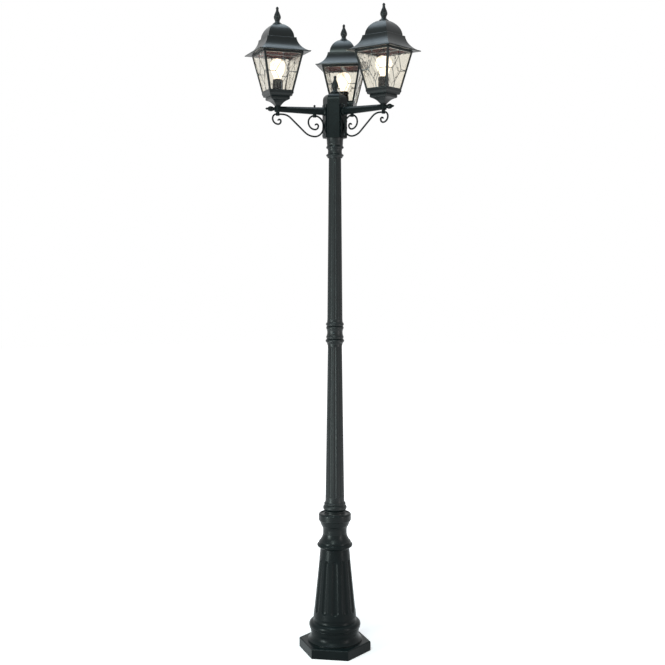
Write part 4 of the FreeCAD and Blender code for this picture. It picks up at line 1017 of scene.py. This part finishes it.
@dataclass
class Lantern:
    """One leaded lantern: gallery, cage, panes, leading, lampholder, lamp, roof and finial.

    Attributes:
        side: The arm that it stands on.
        reach: Distance of its axis from the post's.
        cage_base: Height of the cage's foot.
        cage_height: Height of the cage.
        cage_foot: Half the cage's width at its foot.
        cage_head: Half its width at its head.
        pane_inset: Distance of the leading's face from the cage's.
        rail_foot: Height of the lower rail.
        rail_head: Height of the upper rail.
        post_width: Width of a corner post.
        diamond: Half the diamond's width and height.
        side_joint: Distance of a solder joint from the corner post.
        rail_joint: Distance of a solder joint from the rail.
        roof_lip: How far above the eave's underside the primer starts.
        roof_core: Faces nearer to the axis than this are no wall of the roof.
        roof_ceiling: Half the width of the ceiling inside its dome.
        inward: How far a face of its inside looks to the axis, at least, from 0 to 1.
        downward: How far a face of the ceiling looks down, at least.
        edge: Rounding of the castings' edges.
    """

    side: Side
    reach: float = 240.6
    cage_base: float = 2272.0
    cage_height: float = 147.0
    cage_foot: float = 49.3
    cage_head: float = 80.7
    pane_inset: float = 2.9
    rail_foot: float = 5.0
    rail_head: float = 6.0
    post_width: float = 8.0
    diamond: Point = (28.0, 47.0)
    side_joint: float = 1.6
    rail_joint: float = 1.8
    roof_lip: float = 1.2
    roof_core: float = 6.0
    roof_ceiling: float = 48.0
    inward: float = 0.1
    downward: float = 0.15
    edge: float = 0.9

    def build(self) -> None:
        """Builds and dresses the lantern's pieces."""
        side = self.side
        for part in ("gallery", "cage"):
            piece = casting(side.node(part), side.node(f"{part}_casting"), self.edge)
            dress(piece, LANTERN_PAINT)
            stand_for(piece, "post", "lantern_paint", side.node(part))
        finishes = {"panes": PANE_GLASS, "leading": LEAD, "stem": BRASS, "bridge": SCREW_STEEL}
        for part, finish in finishes.items():
            dress_node(side.node(part), finish)
        self.build_solder()
        self.build_lampholder()
        self.build_lamp()
        self.build_roof()
        lo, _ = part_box(side.node("finial"))
        finial = Finial().build(side.node("finial_casting"), side.along(self.reach, 0, lo[2] / MM))
        stand_for(finial, side.node("roof_knob"), "lantern_paint", side.node("finial"))

    def place(self, thing: Thing, height: float) -> None:
        """Moves a mesh from the Z axis to the lantern's, turned with its arm, to a height in metres."""
        spot = Matrix.Translation(self.side.along(self.reach, 0, height / MM))
        thing.data.transform(spot @ Matrix.Rotation(self.side.turn, 4, "Z"))

    def half(self, height: float) -> float:
        """Half the cage's width at a height above its foot."""
        return self.cage_foot + (self.cage_head - self.cage_foot) * height / self.cage_height

    def build_solder(self) -> None:
        """Builds the solder joints where the cames meet each other and the frame."""
        low, high = self.rail_foot, self.cage_height - self.rail_head
        middle = (low + high) / 2
        wide, tall = self.diamond
        joints = [(wide, middle), (-wide, middle), (0.0, middle + tall), (0.0, middle - tall)]
        reach = self.half(middle) - self.post_width - self.side_joint
        joints += [(reach, middle), (-reach, middle)]
        joints += [(0.0, low + self.rail_joint), (0.0, high - self.rail_joint)]
        slope = (self.cage_head - self.cage_foot) / self.cage_height
        turn = Matrix.Rotation(self.side.turn, 3, "Z")
        axis = self.side.along(self.reach, 0, self.cage_base)
        spots = []
        for quarter in range(4):
            square = turn @ Matrix.Rotation(quarter * math.pi / 2, 3, "Z")
            for across, height in joints:
                point = Vector((self.half(height) - self.pane_inset, across, height)) * MM
                spots.append((axis + square @ point, square @ Vector((1.0, 0.0, -slope))))
        drop = [(0, -0.8), (1.9, -0.8), (2.3, 0.0), (1.9, 0.45), (1.0, 0.7), (0, 0.8)]
        blob = Lathe(drop, steps=14).mesh("solder")
        piece = Scatter(self.side.node("solder_joints"), blob, spots, SOLDER).build()
        stand_for(piece, "post", "lead")

    def build_lampholder(self) -> None:
        """Builds the ribbed lampholder where the plain one stands."""
        node = self.side.node
        lo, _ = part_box(node("lampholder"))
        piece = Lampholder().build(node("lampholder_moulding"))
        self.place(piece, lo[2])
        stand_for(piece, "post", "holder_plastic", node("lampholder"))

    def build_lamp(self) -> None:
        """Builds the lamp: its threaded cap and its opal glass."""
        node = self.side.node
        foot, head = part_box(node("lamp_cap"))
        cap = Lamp().cap(node("lamp_cap_thread"))
        self.place(cap, foot[2])
        stand_for(cap, node("lamp"), "lamp_metal", node("lamp_cap"))
        glass = Lamp().glass(node("lamp_opal"))
        self.place(glass, head[2])
        stand_for(glass, node("lamp"), "lamp_glass", node("lamp_glass"))

    def build_roof(self) -> None:
        """Rounds the roof's edges and gives its inside the primer."""
        node = self.side.node
        roof = casting(node("roof"), node("roof_casting"), self.edge)
        dress(roof, LANTERN_PAINT, ROOF_PRIMER)
        lo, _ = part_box(node("roof"))
        axis = self.side.along(self.reach, 0, 0)
        back = Matrix.Rotation(-self.side.turn, 3, "Z")
        for face in roof.data.polygons:
            out = back @ (Vector(face.center) - axis)
            out.z = 0.0
            leaning = (back @ face.normal).dot(out.normalized())
            wide = max(abs(out.x), abs(out.y))
            inside = leaning < -self.inward and wide > self.roof_core * MM
            ceiling = face.normal.z < -self.downward and wide < self.roof_ceiling * MM
            raised = face.center.z > lo[2] + self.roof_lip * MM
            face.material_index = int((inside or ceiling) and raised)
        stand_for(roof, node("roof"), "lantern_paint", node("roof"))


# ---- Studio ----


@dataclass(frozen=True)
class Softbox:
    """A rectangular studio lamp.

    Attributes:
        name: Its name.
        spot: Where it hangs, in metres.
        aim: The point that it faces.
        size: Its width and height in metres.
        power: Its power in watts.
        tone: Its light's colour.
    """

    name: str
    spot: Sequence[float]
    aim: Sequence[float]
    size: Point
    power: float
    tone: str

    def hang(self) -> None:
        """Puts the lamp in the scene."""
        light = bpy.data.lights.new(self.name, "AREA")
        light.color = linear(self.tone)[:3]
        light.shape = "RECTANGLE"
        light.size, light.size_y = self.size
        light.energy = self.power
        holder = new_object(self.name, light)
        holder.location = self.spot
        holder.rotation_euler = (Vector(self.spot) - Vector(self.aim)).to_track_quat("Z", "Y").to_euler()


SOFTBOXES = (
    Softbox("Overhead softbox", (-0.6, 0.2, 4.7), (-0.3, -0.1, 2.0), (2.4, 1.7), 66.0, "#d8ecfa"),
    Softbox("Left softbox", (-2.5, -2.5, 0.8), (0.0, 0.0, 0.9), (0.4, 1.5), 118.0, "#e6f6f2"),
    Softbox("Right softbox", (2.9, -1.3, 1.2), (0.0, 0.0, 1.2), (0.35, 2.2), 34.0, "#f7f1f0"),
    Softbox("Foot softbox", (-0.4, -2.2, 3.2), (0.0, 0.0, 0.4), (0.7, 0.7), 40.0, "#e0f6f0"),
)


@dataclass
class Studio:
    """Camera, lamps, world and floor.

    Attributes:
        distance: The camera's distance from the post's axis, in metres.
        azimuth: The camera's direction from the front, in degrees.
        height: The camera's height in metres.
        pitch: How far it looks down, in radians.
        yaw: How far it looks to the left of the axis, in radians.
        focal: Its focal length in pixels.
        frame_width: The picture's width in pixels.
        sensor: The width of the camera's sensor.
        surround: Strength of the light that the white surroundings cast.
        floor_radius: The floor's radius in metres.
        near_lift: How much of the floor's white is its own near the foot, where a shadow has to show.
        lift_span: Distances in metres between which that share rises to all.
    """

    distance: float = 4.259
    azimuth: float = 8.9
    height: float = 1.667
    pitch: float = 0.081
    yaw: float = 0.0023
    focal: float = 1049.7
    frame_width: float = 665.0
    sensor: float = 36.0
    surround: float = 0.22
    floor_radius: float = 14.0
    near_lift: float = 0.5
    lift_span: Span = (0.35, 1.5)

    def build(self) -> None:
        """Builds the studio."""
        self.build_camera()
        self.build_world()
        self.build_floor()
        for softbox in SOFTBOXES:
            softbox.hang()

    def build_camera(self) -> None:
        """Creates the camera at the photograph's viewing angle."""
        turn = math.radians(self.azimuth)
        camera = bpy.data.cameras.new("Camera")
        camera.sensor_width = self.sensor
        camera.sensor_fit = "AUTO"
        camera.lens = self.focal / self.frame_width * self.sensor
        holder = new_object("Camera", camera)
        holder.location = (self.distance * math.sin(turn), -self.distance * math.cos(turn), self.height)
        holder.rotation_euler = (math.pi / 2 - self.pitch, 0.0, turn + self.yaw)
        bpy.context.scene.camera = holder

    def build_world(self) -> None:
        """Makes the white surroundings, dimmer for the light that they cast than for how they look."""
        world = bpy.data.worlds.new("Studio")
        bpy.context.scene.world = world
        tree = empty_tree(world)
        tone = linear("#f4f7fa")
        cast = add_node(tree, "ShaderNodeBackground", {"Color": tone, "Strength": self.surround})
        look = add_node(tree, "ShaderNodeBackground", {"Color": linear("#ffffff"), "Strength": 1.0})
        parts = {0: looked_at(tree), 1: cast.outputs["Background"], 2: look.outputs["Background"]}
        both = add_node(tree, "ShaderNodeMixShader", parts)
        add_node(tree, "ShaderNodeOutputWorld", {"Surface": both.outputs["Shader"]})

    def build_floor(self) -> None:
        """Makes the plain white floor, which keeps a soft shadow under the foot."""
        shape = bmesh.new()
        bmesh.ops.create_circle(shape, cap_ends=True, segments=64, radius=self.floor_radius)
        mesh = new_mesh("floor", shape)
        floor = new_object("floor", mesh)
        paper = bpy.data.materials.new("White paper sweep")
        tree = empty_tree(paper)
        away = add_node(tree, "ShaderNodeVectorMath", {0: object_place(tree)}, operation="LENGTH")
        share = spread(tree, away.outputs["Value"], (self.near_lift, 1.0), self.lift_span)
        lift = add_node(tree, "ShaderNodeMath", {0: looked_at(tree), 1: share}, operation="MULTIPLY")
        matt = add_node(tree, "ShaderNodeBsdfDiffuse", {"Color": linear("#f2f2f2")})
        glow = add_node(tree, "ShaderNodeEmission", {"Strength": lift.outputs[0]})
        both = add_node(tree, "ShaderNodeAddShader", {0: matt.outputs["BSDF"], 1: glow.outputs["Emission"]})
        add_node(tree, "ShaderNodeOutputMaterial", {"Surface": both.outputs["Shader"]})
        mesh.materials.append(paper)


def main() -> None:
    """Builds the dressed lamp post in its studio."""
    logging.basicConfig(level=logging.INFO, format="%(name)s: %(message)s")
    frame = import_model()
    NODE_OBJECTS.update({name: thing.name for name, thing in frame["nodes"].items()})
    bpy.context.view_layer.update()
    bpy.context.scene.view_settings.view_transform = "Standard"
    Studio().build()
    Post().build()
    Arms().build()
    for side in Side:
        Lantern(side).build()
    bpy.context.view_layer.update()


if __name__ == "__main__":
    main()
